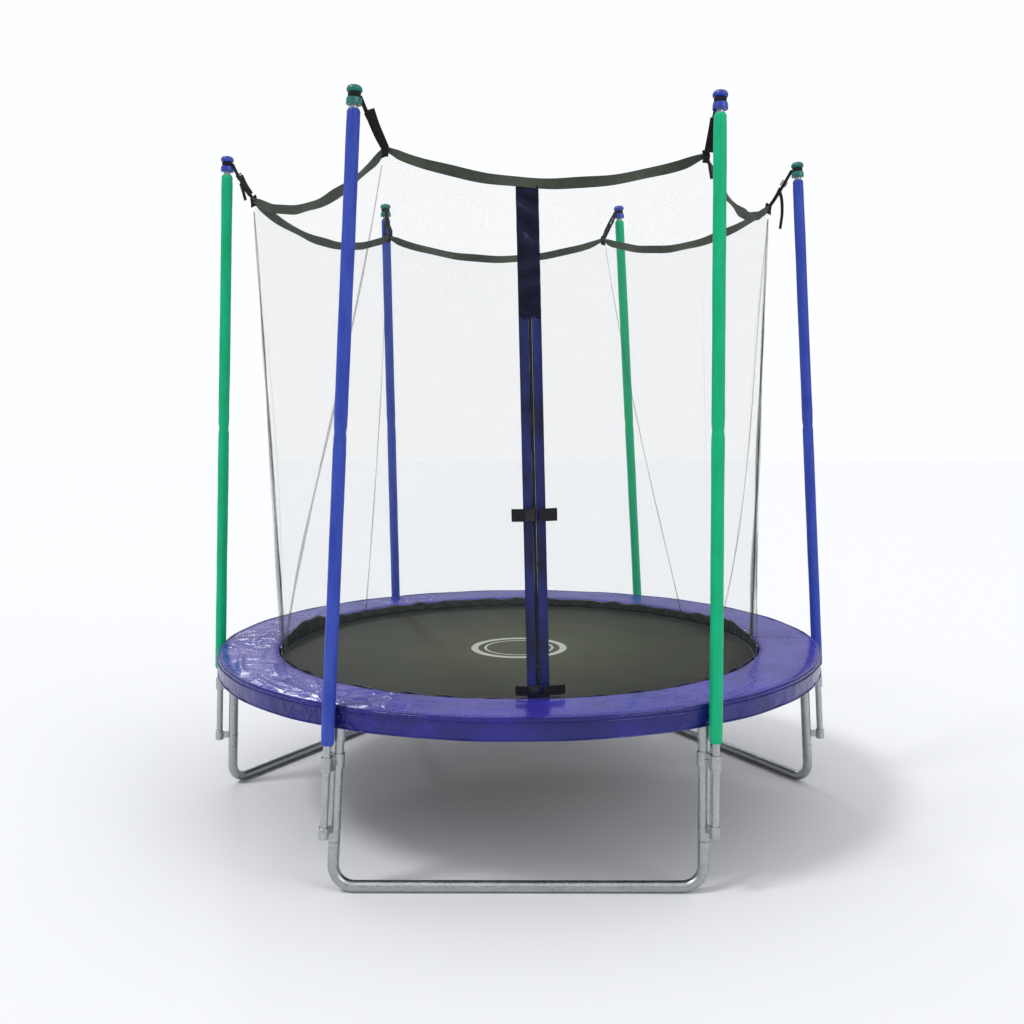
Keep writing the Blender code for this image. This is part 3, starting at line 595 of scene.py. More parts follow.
def mat_cloth():
    """Woven polypropylene: a matt grid of flat olive-grey tapes with a random mottle, painted lighter in the
    middle and darker towards the edge as light and shade, with two plain rings.
    """
    material, tree = new_finish("woven polypropylene mat")
    place = add(tree, "ShaderNodeTexCoord").outputs["Object"]
    weft = add(tree, "ShaderNodeTexWave", {"Vector": place, "Scale": bands(0.004)}, bands_direction="X")
    warp = add(tree, "ShaderNodeTexWave", {"Vector": place, "Scale": bands(0.004)}, bands_direction="Y")
    crossing = {0: weft.outputs["Fac"], 1: warp.outputs["Fac"]}
    weave = add(tree, "ShaderNodeMath", crossing, operation="MULTIPLY")
    level = add(tree, "ShaderNodeMapping", {"Vector": place, "Scale": (1, 1, 0)})
    radius = add(tree, "ShaderNodeVectorMath", {0: level}, operation="LENGTH")
    cloud = add(tree, "ShaderNodeTexNoise", {"Vector": place, "Scale": 5.0, "Detail": 8.0})
    # Painted light and shade: the cloth is drawn lighter towards the middle and darker towards its edge.
    painted_light_and_edge_shade = add(tree, "ShaderNodeMapRange", {0: radius, 1: 0.95, 2: 0.10, 3: -0.22, 4: 0.62})
    mottle_and_painted_light = add(tree, "ShaderNodeMath", {0: cloud, 1: 0.5, 2: painted_light_and_edge_shade}, operation="MULTIPLY_ADD")
    fade = add(tree, "ShaderNodeMath", {0: weave, 1: 0.12, 2: mottle_and_painted_light}, operation="MULTIPLY_ADD")
    olive = {0: fade, 6: colour("#12140c"), 7: colour("#41452f")}
    cloth = add(tree, "ShaderNodeMix", olive, data_type="RGBA")
    wide = add(tree, "ShaderNodeMath", {0: radius, 1: 0.185, 2: 0.0145}, operation="COMPARE")
    narrow = add(tree, "ShaderNodeMath", {0: radius, 1: 0.140, 2: 0.005}, operation="COMPARE")
    mark = add(tree, "ShaderNodeMath", {0: wide, 1: narrow}, operation="MAXIMUM")
    shade = add(tree, "ShaderNodeMix", {0: mark, 6: cloth, 7: colour("#a9aba0")}, data_type="RGBA")
    relief = add(tree, "ShaderNodeBump", {"Height": weave, "Distance": 0.0004})
    sockets = {"Base Color": shade, "Roughness": 0.60, "Normal": relief, "Specular IOR Level": 0.18}
    shader = add(tree, "ShaderNodeBsdfPrincipled", sockets)
    add(tree, "ShaderNodeOutputMaterial", {"Surface": shader})
    return material


def net_mesh(name, thread, shade, pale, veil):
    """Knotless polyester net: a diamond grid of thin threads, drawn about twice as coarse as the real one."""
    material, tree = new_finish(name)
    lay = add(tree, "ShaderNodeAttribute", attribute_name="lay").outputs["Vector"]
    parts = add(tree, "ShaderNodeSeparateXYZ", {0: lay}).outputs
    pitch, masks = 0.0056, []
    for slant in (0.6, -0.6):
        across = add(tree, "ShaderNodeMath", {0: parts[1], 1: slant, 2: parts[0]}, operation="MULTIPLY_ADD")
        wave = add(tree, "ShaderNodeMath", {0: across, 1: pitch / 2}, operation="PINGPONG")
        masks.append(add(tree, "ShaderNodeMapRange", {0: wave, 1: thread * 0.75, 2: thread * 0.35}))
    lines = add(tree, "ShaderNodeMath", {0: masks[0], 1: masks[1]}, operation="MAXIMUM")
    alpha = add(tree, "ShaderNodeMath", {0: lines, 1: veil}, operation="MAXIMUM")
    place = add(tree, "ShaderNodeTexCoord").outputs["Object"]
    cloud = add(tree, "ShaderNodeTexNoise", {"Vector": place, "Scale": 4.0})
    tint = add(tree, "ShaderNodeMix", {0: cloud, 6: colour(shade), 7: colour(pale)}, data_type="RGBA")
    sockets = {"Base Color": tint, "Alpha": alpha, "Roughness": 0.75, "Specular IOR Level": 0.2}
    shader = add(tree, "ShaderNodeBsdfPrincipled", sockets)
    add(tree, "ShaderNodeOutputMaterial", {"Surface": shader})
    return material


def welded_vinyl(name, pale, dark):
    """PVC sheet over foam: a saturated film with a wet gloss, crushed into small creases near the posts."""
    material, tree = new_finish(name)
    place = add(tree, "ShaderNodeTexCoord").outputs["Object"]
    round_ring = add(tree, "ShaderNodeTexGradient", {"Vector": place}, gradient_type="RADIAL").outputs["Fac"]
    stations = add(tree, "ShaderNodeMath", {0: round_ring, 1: float(STATIONS)}, operation="MULTIPLY")
    away = add(tree, "ShaderNodeMath", {0: stations, 1: 0.5}, operation="PINGPONG")
    near_post = add(tree, "ShaderNodeMapRange", {0: away, 1: 0.24, 2: 0.04, 3: 0.16, 4: 1.0})
    to_left = add(tree, "ShaderNodeVectorMath", {0: place, 1: (-0.70, -0.71, 0.0)}, operation="DOT_PRODUCT")
    trodden = add(tree, "ShaderNodeMapRange", {0: to_left, 1: 0.55, 2: 1.10, 3: 0.6, 4: 1.3})
    crushed = add(tree, "ShaderNodeMath", {0: near_post, 1: trodden}, operation="MULTIPLY")
    drift = add(tree, "ShaderNodeTexNoise", {"Vector": place, "Scale": 9.0, "Detail": 4.0}).outputs["Color"]
    wander = {0: drift, 1: (0.06, 0.06, 0.06), 2: place}
    pulled = add(tree, "ShaderNodeVectorMath", wander, operation="MULTIPLY_ADD")
    cells = add(tree, "ShaderNodeTexVoronoi", {"Vector": pulled, "Scale": 13.0}, feature="DISTANCE_TO_EDGE")
    ridges = add(tree, "ShaderNodeMapRange", {0: cells, 1: 0.0, 2: 0.14, 3: 1.0, 4: 0.0})
    grain = {"Vector": place, "Scale": 60.0, "Detail": 5.0, "Roughness": 0.6}
    small = add(tree, "ShaderNodeTexNoise", grain)
    broad = add(tree, "ShaderNodeTexNoise", {"Vector": place, "Scale": 7.0, "Detail": 3.0})
    sharp = add(tree, "ShaderNodeMath", {0: small, 1: 0.22, 2: ridges}, operation="MULTIPLY_ADD")
    crumpled = add(tree, "ShaderNodeMath", {0: sharp, 1: crushed}, operation="MULTIPLY")
    height = add(tree, "ShaderNodeMath", {0: broad, 1: 2.4, 2: crumpled}, operation="MULTIPLY_ADD")
    fade = add(tree, "ShaderNodeMapRange", {0: broad, 1: 0.35, 2: 0.65})
    shade = add(tree, "ShaderNodeMix", {0: fade, 6: colour(dark), 7: colour(pale)}, data_type="RGBA")
    polish = add(tree, "ShaderNodeMapRange", {0: small, 1: 0.3, 2: 0.7, 3: 0.20, 4: 0.34})
    relief = add(tree, "ShaderNodeBump", {"Height": height, "Distance": 0.0036})
    sockets = {"Base Color": shade, "Roughness": polish, "Normal": relief, "Specular IOR Level": 0.25}
    sockets.update({"Coat Weight": 0.25, "Coat Roughness": 0.10})
    shader = add(tree, "ShaderNodeBsdfPrincipled", sockets)
    add(tree, "ShaderNodeOutputMaterial", {"Surface": shader})
    return material


def build_finishes():
    """Every finish on the object, by a short name."""
    even, upright, level = (1, 1, 0.25), (1, 1, 0.6), (0.4, 0.4, 1.6)
    sleeve = (0.40, 26.0, 0.0012, even, 0.25)
    strip = (0.42, 12.0, 0.0016, upright, 0.3)
    glazed = (0.26, 22.0, 0.0014, level, 0.5, "#b4b4ff")
    return {
        "steel": galvanised_steel("galvanised steel tube", "#c9ccce", "#8f9498", 0.36),
        "spring": galvanised_steel("zinc-plated spring wire", "#d4d6d8", "#9ba0a4", 0.28),
        "zip_metal": galvanised_steel("black-nickelled zinc slider", "#4a4b4e", "#232426", 0.32),
        "blue_sleeve": coated_fabric("blue coated polyester sleeve", "#3850ae", "#283c9c", *sleeve),
        "green_sleeve": coated_fabric("green coated polyester sleeve", "#00b17c", "#00a06a", *sleeve),
        # The navy strips' paler blue, spread in random patches, is partly the cloth's uneven tone and partly
        # painted highlight of its sheen.
        "navy": coated_fabric("navy coated entrance strip", "#1a2668", "#0a0e22", *strip),
        "black": coated_fabric("black coated entrance strip", "#0d0d15", "#030304", *glazed),
        "pad": welded_vinyl("blue welded PVC pad cover", "#3a349a", "#292386"),
        # The skirt, its welts and its hem take the pad's own vinyl in darker blues: painted shade on the
        # hanging side.
        "skirt": welded_vinyl("blue welded PVC skirt with painted shade", "#22207c", "#141560"),
        "mat": mat_cloth(),
        "net": net_mesh("black knotless net", 0.00018, "#55625e", "#86948f", 0.004),
        "fold": net_mesh("gathered folds of net", 0.0007, "#34362f", "#53574c", 0.05),
        "mat_hem": woven_webbing("black polypropylene hem webbing", "#1c1d1b", "#0c0d0c"),
        "foot_hem": woven_webbing("black net hem", "#17181b", "#050506", 0.32, 0.6),
        "band": woven_webbing("grey-green band webbing", "#4a5046", "#2d3229"),
        "strap": woven_webbing("black strap webbing", "#141416", "#050506", 0.6),
        "tape": woven_webbing("black zip tape", "#0f1113", "#040405", 0.6),
        "stitch": woven_webbing("white polyester stitching", "#c8cad0", "#9ea2ad", 0.7),
        "dark_stitch": woven_webbing("dark polyester stitching", "#33365a", "#1d1f3a", 0.6),
        "teal_cap": moulded_plastic("teal moulded polypropylene", "#0d7068", "#0a5a54", 0.30),
        "blue_cap": moulded_plastic("blue moulded polypropylene", "#2440a8", "#1f3590", 0.30),
        "buckle": moulded_plastic("black acetal buckle", "#101113", "#070708", 0.34),
        "coil": moulded_plastic("black nylon zip coil", "#101214", "#060607", 0.35),
    }


FINISH = build_finishes()
RING_TREE = round_ring_tree()
PATH_TREE = along_path_tree()


def stitches(name, path, finish, spacing=0.010, length=0.0065, width=0.0014, height=0.0009):
    """A row of stitches along a path."""
    sizes = {"Spacing": spacing, "Length": length, "Width": width, "Height": height}
    return grown(name, PATH_TREE, {**sizes, "Follow": True, "Finish": FINISH[finish]}, path)


# Steel frame


def build_rails():
    """Six curved rails that meet half-way between the stations, each with a welded leg socket."""
    gap = 0.0008 / RAIL_RING
    for k, leg in enumerate(LEGS):
        start = (k - 0.5) * STEP
        arc = [polar(RAIL_RING, start + gap + (STEP - 2 * gap) * i / 40, RAIL_Z) for i in range(41)]
        rail = tube(f"ring_tube_{k + 1}", arc, RAIL_RADIUS, TUBE_SIDES)
        mouth = on_line(leg, RAIL_Z - RAIL_RADIUS - 0.055)
        up = on_line(leg, RAIL_Z - 0.004)
        axis = (up - mouth).normalized()
        path = [mouth, mouth + axis * 0.002, up - axis * 0.002, up]
        socket = tube(f"socket_{k + 1}", path, 0.0226, TUBE_SIDES)
        bead_at = on_line(leg, RAIL_Z - RAIL_RADIUS + 0.002)
        bead = weld_bead(f"bead_{k + 1}", bead_at, axis, 0.0232, 0.0026, k)
        whole = joined(f"ring_rail_{k + 1}", [rail, socket, bead], "steel")
        finish_piece(whole, None, "root", [f"top_rail_{k + 1}"])


def weld_bead(name, centre, axis, radius, thickness, seed):
    """A rippled ring of weld metal round a tube."""
    side = axis.orthogonal().normalized()
    other = axis.cross(side)
    path, sizes = [], []
    for i in range(60):
        a = i * 2 * math.pi / 60
        path.append(centre + (side * math.cos(a) + other * math.sin(a)) * radius)
        sizes.append(thickness * (1 + 0.18 * math.sin(a * 17 + seed)))
    return tube(name, path, sizes, 8, closed=True)


def build_legs():
    """The uprights with their cups, and the bent bases that stand on the floor."""
    for k, (leg, pole) in enumerate(zip(LEGS, POLES)):
        bar = straight_tube(f"upright_{k + 1}", *leg, LEG_RADIUS)
        axis = (leg[1] - leg[0]).normalized()
        cup_low, cup_high = pole[0].z - 0.004, pole[0].z + 0.035
        cup = cup_shell(f"cup_{k + 1}", pole, cup_low, cup_high)
        weld_z = cup_low + 0.020
        away = on_line(pole, cup_low) - on_line(leg, cup_low)
        x_axis = away.normalized()
        middle = (on_line(leg, weld_z) + on_line(pole, weld_z)) / 2
        place = placed(x_axis, axis.cross(x_axis), axis, middle)
        web = block(f"cup_web_{k + 1}", (away.length - 0.030, 0.006, 0.028), place, 0.0012)
        bead = weld_bead(f"cup_bead_{k + 1}", on_line(leg, weld_z), axis, LEG_RADIUS, 0.0016, k)
        whole = joined(f"leg_tube_{k + 1}", [bar, cup, web, bead], "steel")
        finish_piece(whole, None, "root", [f"leg_upright_{k + 1}"])
    for b in range(STATIONS // 2):
        one, two = LEGS[2 * b], LEGS[2 * b + 1]
        split = one[0].z - 0.0006
        corners = [on_line(one, split), on_line(one, LEG_RADIUS), on_line(two, LEG_RADIUS), on_line(two, split)]
        base = tube(f"floor_base_{b + 1}", bent(corners, 0.070, 12), LEG_RADIUS, TUBE_SIDES)
        finish_piece(base, "steel", "root", [f"leg_base_{b + 1}"])


def cup_shell(name, pole, low, high):
    """A cup with a floor for a pole's foot."""
    axis = (pole[1] - pole[0]).normalized()
    x_axis = axis.orthogonal().normalized()
    place = placed(x_axis, axis.cross(x_axis), axis, on_line(pole, low))
    height, ease = high - low, 0.001
    outer, inner = POLE_RADIUS + 0.004, POLE_RADIUS + 0.0009
    profile = [(0, 0), (outer - ease, 0), (outer, ease), (outer, height - ease), (outer - ease, height)]
    profile += [(inner, height), (inner, 0.0037), (0, 0.0037)]
    return turned(name, profile, TUBE_SIDES, place)


def smoothed_copy(node, name, bevel):
    """A CAD piece's own shape with its facets smoothed and its edges broken."""
    mesh = frame["nodes"][node].data.copy()
    shape = bmesh.new()
    shape.from_mesh(mesh)
    bmesh.ops.remove_doubles(shape, verts=shape.verts, dist=0.00002)
    bmesh.ops.dissolve_limit(shape, angle_limit=math.radians(1), verts=shape.verts, edges=shape.edges)
    shape.to_mesh(mesh)
    shape.free()
    mesh.shade_smooth()
    mesh.set_sharp_from_angle(angle=math.radians(32))
    obj = in_scene(name, mesh)
    edge = obj.modifiers.new("broken edges", "BEVEL")
    edge.width, edge.segments, edge.limit_method = bevel, 2, "ANGLE"
    edge.angle_limit = math.radians(40)
    return obj


def build_clamps():
    """The brackets that hold the posts to the legs."""
    for k in range(STATIONS):
        clamp = smoothed_copy(f"pole_clamp_{k + 1}", f"clamp_bracket_{k + 1}", 0.0008)
        finish_piece(clamp, "steel", "root", [f"pole_clamp_{k + 1}"])


# Posts


def build_poles():
    """Bare steel tubes, the foam sleeves drawn over them, and the caps."""
    for k, (low, high) in enumerate(POLES):
        bar = straight_tube(f"post_tube_{k + 1}", low, high, POLE_RADIUS)
        finish_piece(bar, "steel", "root", [f"pole_{k + 1}"])
        build_sleeve(k)
        build_cap(k)


def build_sleeve(k):
    """Two lengths of foam in one sleeve: hems at its ends, a seam at mid-height, soft creases between."""
    low, high = ends(f"pole_sleeve_{k + 1}", 0.003)
    axis = (high - low).normalized()
    length = (high - low).length
    rows, sides = 220, 36
    share = np.linspace(0, 1, rows)[:, None]
    along = share * length
    turn = np.arange(sides)[None, :] * 2 * math.pi / sides
    grid = np.stack(np.broadcast_arrays(np.cos(turn) * 0.03, np.sin(turn) * 0.03, along), axis=-1)
    slack = crumple(grid, (0.05, 0.05, 0.16), k + 1).reshape(rows, sides)
    fine = crumple(grid, (0.02, 0.02, 0.035), k + 11).reshape(rows, sides)
    from_seam = (share - 0.5) * length
    radius = SLEEVE_RADIUS - 0.0006 + slack * 0.0009
    radius += fine * 0.0006 * (0.35 + 2.0 * hump(from_seam, 0.07))
    radius -= 0.0022 * hump(from_seam, 0.012)
    for end in (0.0, 1.0):
        distance = np.abs(share - end) * length
        radius -= 0.0018 * hump(distance - 0.022, 0.004)
        radius -= 0.0035 * hump(distance, 0.003)
    radius += 0.0010 * hump(turn - math.pi, 0.10)
    points = [low + axis * float(a) for a in along[:, 0]]
    sleeve = tube(f"foam_sleeve_{k + 1}", points, radius, sides)
    kind = "green_sleeve" if k % 2 else "blue_sleeve"
    finish_piece(sleeve, kind, "root", [f"pole_sleeve_{k + 1}"])


def build_cap(k):
    """A spool: a skirted collar, a neck and a domed knob, with the mould's parting line round the knob."""
    place = pole_frame(k, 0.062)
    r = 0.0246
    collar = [(0.0138, 0.0), (0.0235, 0.0), (r, 0.0012), (r + 0.0003, 0.004), (r, 0.0055)]
    collar += [(r - 0.0004, 0.0165), (r - 0.0012, 0.0205), (r - 0.004, 0.0220)]
    neck = [(0.0178, 0.0226), (0.0168, 0.0240), (0.0166, 0.0300), (0.0168, 0.0362), (0.0182, 0.0380)]
    knob = [(r - 0.003, 0.0386), (r - 0.0008, 0.0402), (r + 0.0002, 0.0440), (r + 0.0004, 0.0456)]
    knob += [(r + 0.0002, 0.0470), (r - 0.0008, 0.0515), (0.0212, 0.0560), (0.0160, 0.0592)]
    knob += [(0.0090, 0.0611), (0.0035, 0.0618), (0, 0.0619)]
    cap = turned(f"spool_cap_{k + 1}", collar + neck + knob, 48, place)
    kind = "blue_cap" if k % 2 else "teal_cap"
    finish_piece(cap, kind, "root", [f"pole_cap_{k + 1}"])


# Jumping surface


def build_mat():
    """The woven disc with its doubled hem, and the steel V-rings that take the springs."""
    top, low = MAT_TOP - 0.0006, MAT_LOW.z + 0.0006
    hem, rim = MAT_RADIUS - 0.045, MAT_RADIUS - 0.001
    profile = [(0, low)] + [(r, low) for r in np.linspace(0.05, hem, 12)] + [(rim, low - 0.0004)]
    profile += [(MAT_RADIUS, (low + top) / 2), (rim, top + 0.0004)]
    profile += [(r, top) for r in np.linspace(hem, 0.05, 24)] + [(0, top)]
    disc = turned("mat_cloth", profile, 192, Matrix.Identity(4), 60)
    finish_piece(disc, "mat", "mat", ["jump_mat"])
    hem_top, edge = MAT_TOP + 0.0002, MAT_RADIUS - 0.002
    section = [(hem, hem_top - 0.0012), (hem, hem_top), (edge, hem_top), (edge, hem_top - 0.0012)]
    rings = [[polar(r, i * 2 * math.pi / 240, z) for r, z in section] for i in range(240)]
    band = loft("mat_hem_webbing", rings, closed=True)
    finish_piece(band, "mat_hem", "mat")
    for number, radius in enumerate((hem + 0.006, MAT_RADIUS - 0.010), start=1):
        path = ring_path(radius, hem_top + 0.0003, 240)
        seam = stitches(f"mat_stitches_{number}", path, "stitch", 0.010, 0.007, 0.0012, 0.0007)
        finish_piece(seam, None, "mat")
    ring = v_ring()
    values = {"Piece": ring, "Count": SPRINGS, "First angle": SPRING_STEP / 2, "Step angle": SPRING_STEP}
    values.update({"Radius": MAT_RADIUS - SPRING_GAP, "Height": SPRING_Z, "Finish": FINISH["spring"]})
    loops = grown("mat_v_rings", RING_TREE, values)
    bpy.data.objects.remove(ring)
    finish_piece(loops, None, "mat")


def v_ring():
    """The triangular wire ring on the mat's edge that a spring's hook takes."""
    left, right, tip = Vector((0, 0.014, 0)), Vector((0, -0.014, 0)), Vector((0.026, 0, 0))
    loop = bent([left, right, tip, left, (left + right) / 2], 0.0035, 4)
    return tube("v_ring", loop, 0.0018, 8)


def coil_spring():
    """One tension spring lying along +X: a close coil with tapered ends, a hook at each end."""
    length = HOOK_RING - (MAT_RADIUS + SPRING_GAP)
    start, end = 0.016, length - 0.018
    turns, per = 30, 10
    path = [(0, 0, -0.0045), (-0.003, 0, 0), (0.001, 0, 0.0045), (0.008, 0, 0.002)]
    for i in range(turns * per + 1):
        share = i / (turns * per)
        radius = 0.0088 * min(1.0, 0.35 + share * turns / 2.2, 0.35 + (1 - share) * turns / 2.2)
        a = i * 2 * math.pi / per
        path.append((start + (end - start) * share, radius * math.cos(a), radius * math.sin(a)))
    path += [(length - 0.010, 0, 0.002), (length - 0.002, 0, 0.0035)]
    path += [(length + 0.0015, 0, 0), (length - 0.001, 0, -0.0045)]
    return tube("coil_spring", path, 0.00135, 5)


def build_springs():
    """Forty-eight springs in groups of three, each stretched from the ring down to the mat's edge."""
    spring = coil_spring()
    for g in range(SPRINGS // 3):
        first = (g * 3 + 0.5) * SPRING_STEP
        values = {"Piece": spring, "Count": 3, "First angle": first, "Step angle": SPRING_STEP}
        values.update({"Radius": MAT_RADIUS + SPRING_GAP, "Height": SPRING_Z, "Finish": FINISH["spring"]})
        made = grown(f"spring_group_{g + 1}", RING_TREE, values)
        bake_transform(made)
        if g == 0:
            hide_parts("springs")
    bpy.data.objects.remove(spring)


# Pad


def to_post(angle):
    """Metres round the pad's edge to the nearest post."""
    return np.abs((angle / STEP + 0.5) % 1 - 0.5) * STEP * PAD_OUTER


def ring_wrinkles(angle, radius, seed):
    """Creases in the pad's cover, longer across the ring than round it, and deeper beside the poles."""
    p = np.stack([np.cos(angle) * 1.1 / 0.05, np.sin(angle) * 1.1 / 0.05, radius / 0.13], axis=-1)
    broad = crumple(p / 3.0, 1.0, seed)
    fine = crumple(p, 1.0, seed + 5)
    near = to_post(angle)
    return broad * 0.0022 + fine * 0.0011 + hump(near, 0.09) * (np.cos(near / 0.021) * 0.0024 - 0.0022)


# Creases that the posts pull in the pad: degrees round the ring and share across it where each starts,
# the same where it ends, and its width and height.
PAD_CREASES = [
    (238, 0.86, 229, 0.30, 0.011, 0.0042),
    (240, 0.70, 249, 0.16, 0.010, 0.0040),
    (236, 0.80, 221, 0.62, 0.012, 0.0038),
    (244, 0.88, 255, 0.52, 0.010, 0.0034),
    (246, 0.60, 256, 0.30, 0.009, 0.0030),
    (232, 0.55, 223, 0.12, 0.012, 0.0036),
    (227, 0.90, 212, 0.72, 0.012, 0.0036),
    (218, 0.50, 206, 0.24, 0.013, 0.0034),
    (212, 0.84, 196, 0.60, 0.014, 0.0036),
    (203, 0.40, 190, 0.20, 0.014, 0.0032),
    (196, 0.90, 178, 0.76, 0.014, 0.0034),
    (188, 0.62, 172, 0.34, 0.015, 0.0030),
    (258, 0.66, 276, 0.60, 0.009, 0.0024),
    (262, 0.34, 277, 0.28, 0.009, 0.0022),
    (304, 0.84, 318, 0.44, 0.013, 0.0034),
    (300, 0.60, 288, 0.30, 0.012, 0.0030),
    (350, 0.30, 366, 0.80, 0.014, 0.0032),
    (12, 0.70, 26, 0.30, 0.014, 0.0030),
    (58, 0.80, 72, 0.36, 0.013, 0.0032),
    (112, 0.24, 126, 0.80, 0.013, 0.0032),
    (140, 0.66, 156, 0.30, 0.014, 0.0030),
]


def crease_lift(angle, across):
    """How far the creases stand up, each highest in its middle and with a shallow dip beside it."""
    lift = np.zeros_like(across)
    to_metres = np.array([math.radians(1) * PAD_OUTER, PAD_OUTER - PAD_INNER])
    for start, share, end, share_end, width, height in PAD_CREASES:
        way = np.array([end - start, share_end - share]) * to_metres
        turn = (angle - start + 180) % 360 - 180
        place = np.stack([turn, across - share], axis=-1) * to_metres
        along = np.clip(place @ way / way.dot(way), 0, 1)
        off = np.linalg.norm(place - along[..., None] * way, axis=-1) / width
        lift += height * hump(off, 1) * (1 - 0.5 * off**2) * np.sin(along * math.pi) ** 0.5
    return lift


def build_pad():
    """The foam ring under its welded cover."""
    outer, inner = PAD_OUTER - 0.003, PAD_INNER - 0.001
    top, under = PAD_TOP - 0.0015, PAD_UNDER + 0.0008
    middle = (under + top) / 2
    crown, edge = 0.0042, 0.011
    section = [(inner + edge, under), (inner + 0.004, under + 0.002), (inner + 0.0006, under + 0.007)]
    section += [(inner, middle), (inner + 0.001, top - 0.007), (inner + 0.005, top - 0.0025)]
    span = np.linspace(0.05, 0.955, 30)
    section += [(inner + (outer - inner) * s, top + crown * (1 - (2 * s - 1) ** 4) - 0.0008) for s in span]
    section += [(outer - 0.0035, top - 0.0010), (outer - 0.0008, top - 0.0045), (outer, middle)]
    section += [(outer - 0.001, under + 0.006), (outer - 0.005, under + 0.0015), (outer - edge, under)]
    section = np.array(section)
    steps, sides = 900, len(section)
    angle = np.arange(steps) * 2 * math.pi / steps
    turn = np.broadcast_to(angle[:, None], (steps, sides))
    radii = np.broadcast_to(section[:, 0], (steps, sides))
    heights = np.broadcast_to(section[:, 1], (steps, sides))
    wave = ring_wrinkles(turn.ravel(), radii.ravel(), 3).reshape(steps, sides)
    on_top = np.clip((heights - (under + 0.012)) / 0.010, 0, 1)
    across = np.clip((radii - inner) / (outer - inner), 0, 1)
    lift = wave * (0.25 + 0.75 * np.sin(across * math.pi) ** 0.5)
    lift += crease_lift(np.degrees(turn), across)
    lift -= 0.0022 * (hump(across - 0.945, 0.008) + 0.6 * hump(across - 0.06, 0.010))
    rings = np.stack([np.cos(turn) * radii, np.sin(turn) * radii, heights + lift * on_top], axis=-1)
    pad = loft("pad_cover", rings, closed=True, sharp=70)
    finish_piece(pad, "pad", "root", ["safety_pad"])
    build_skirt(angle)


def build_skirt(angle):
    """The skirt with its hem, the two welts at the pad's edge and the pad's stitches."""
    steps, rows = len(angle), 16
    top, hem = PAD_TOP - 0.004, HEM_Z + 0.001
    v = np.linspace(0, 1, rows)[:, None]
    a = np.broadcast_to(angle[None, :], (rows, steps))
    z = top + (hem - top) * v + np.zeros_like(a)
    p = np.stack([np.cos(a) * 1.2 / 0.05, np.sin(a) * 1.2 / 0.05, z / 0.08], axis=-1)
    wave = crumple(p, 1.0, 21).reshape(rows, steps) + 0.8 * crumple(p / 2.6, 1.0, 23).reshape(rows, steps)
    r = PAD_OUTER - 0.0016 - np.abs(wave) * 0.0030 * v - hump(to_post(a), 0.05) * 0.003 * v
    hem_path = np.stack([np.cos(angle) * 6, np.sin(angle) * 6, angle * 0], axis=-1)
    z = z + crumple(hem_path, 1.0, 31)[None, :] * 0.0012 * v
    points = np.stack([np.cos(a) * r, np.sin(a) * r, z], axis=-1).reshape(-1, 3)
    skirt = solid("pad_skirt", points, skin(rows, steps, False, True), 60, closed=False)
    skirt.data.flip_normals()
    wall = skirt.modifiers.new("cover", "SOLIDIFY")
    wall.thickness, wall.offset = 0.0011, -1.0
    finish_piece(skirt, "skirt", "root")
    welts = [("pad_welt_upper", 0.0008, -0.0050, 0.0028), ("pad_welt_lower", -0.0150, 0.0004, 0.0024)]
    welts.append(("skirt_hem", HEM_Z + 0.0035 - top, -0.0012, 0.0020))
    for name, lift, reach, size in welts:
        path = [polar(PAD_OUTER + reach, t, top + lift + 0.0008 * math.sin(t * 23)) for t in angle[::3]]
        welt = tube(name, path, size, 8, closed=True)
        finish_piece(welt, "skirt", "root")
    seams = [("pad_stitches_outer", PAD_OUTER - 0.019, PAD_TOP + 0.0002)]
    seams.append(("pad_stitches_inner", PAD_INNER + 0.018, PAD_TOP + 0.0004))
    for name, radius, height in seams:
        path = ring_path(radius, height, 300)
        seam = stitches(name, path, "dark_stitch", 0.012, 0.007, 0.0014, 0.0014)
        finish_piece(seam, None, "root")


# Net


def net_blend(obj):
    """Bakes the piece's placement into its own mesh."""
    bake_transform(obj)


# Long folds in a net panel: where each starts and ends, as shares across it and up it,
# and its depth and width in metres.
CORNER_PULLS = [
    ((0.0, 1.0), (0.30, 0.0), 0.010, 0.030),
    ((1.0, 1.0), (0.78, 0.0), 0.009, 0.028),
    ((1.0, 1.0), (0.10, 0.05), 0.008, 0.040),
    ((0.0, 1.0), (0.62, 0.35), 0.006, 0.035),
    ((0.0, 1.0), (0.05, 0.0), 0.008, 0.018),
    ((1.0, 1.0), (0.96, 0.0), 0.008, 0.018),
]


def tension_folds(s, v, panel):
    """How far the net stands out of its plane: long folds from the top corners, shallow waves between."""
    height = 1.75
    out = np.zeros_like(s)
    for number, ((s0, v0), (s1, v1), deep, wide) in enumerate(CORNER_PULLS):
        shift = 0.05 * math.sin(panel * 2.1 + number * 1.3)
        dx, dy = (s1 + shift - s0) * PANEL_WIDTH, (v1 - v0) * height
        run = math.hypot(dx, dy)
        px, py = (s - s0) * PANEL_WIDTH, (v - v0) * height
        t = (px * dx + py * dy) / run**2
        off = (px * dy - py * dx) / run / (wide * (0.35 + 1.2 * np.clip(t, 0, 1)))
        fade = np.clip(t * 8, 0, 1) * np.clip((1.05 - t) * 4, 0, 1)
        out += deep * hump(off, 1) * np.cos(off * 2.2) * fade
    out += 0.004 * np.sin(s * 9 + v * 5 + panel) * np.sin(v * math.pi)
    out -= 0.012 * np.sin(s * math.pi) * np.sin(v * math.pi)
    return out


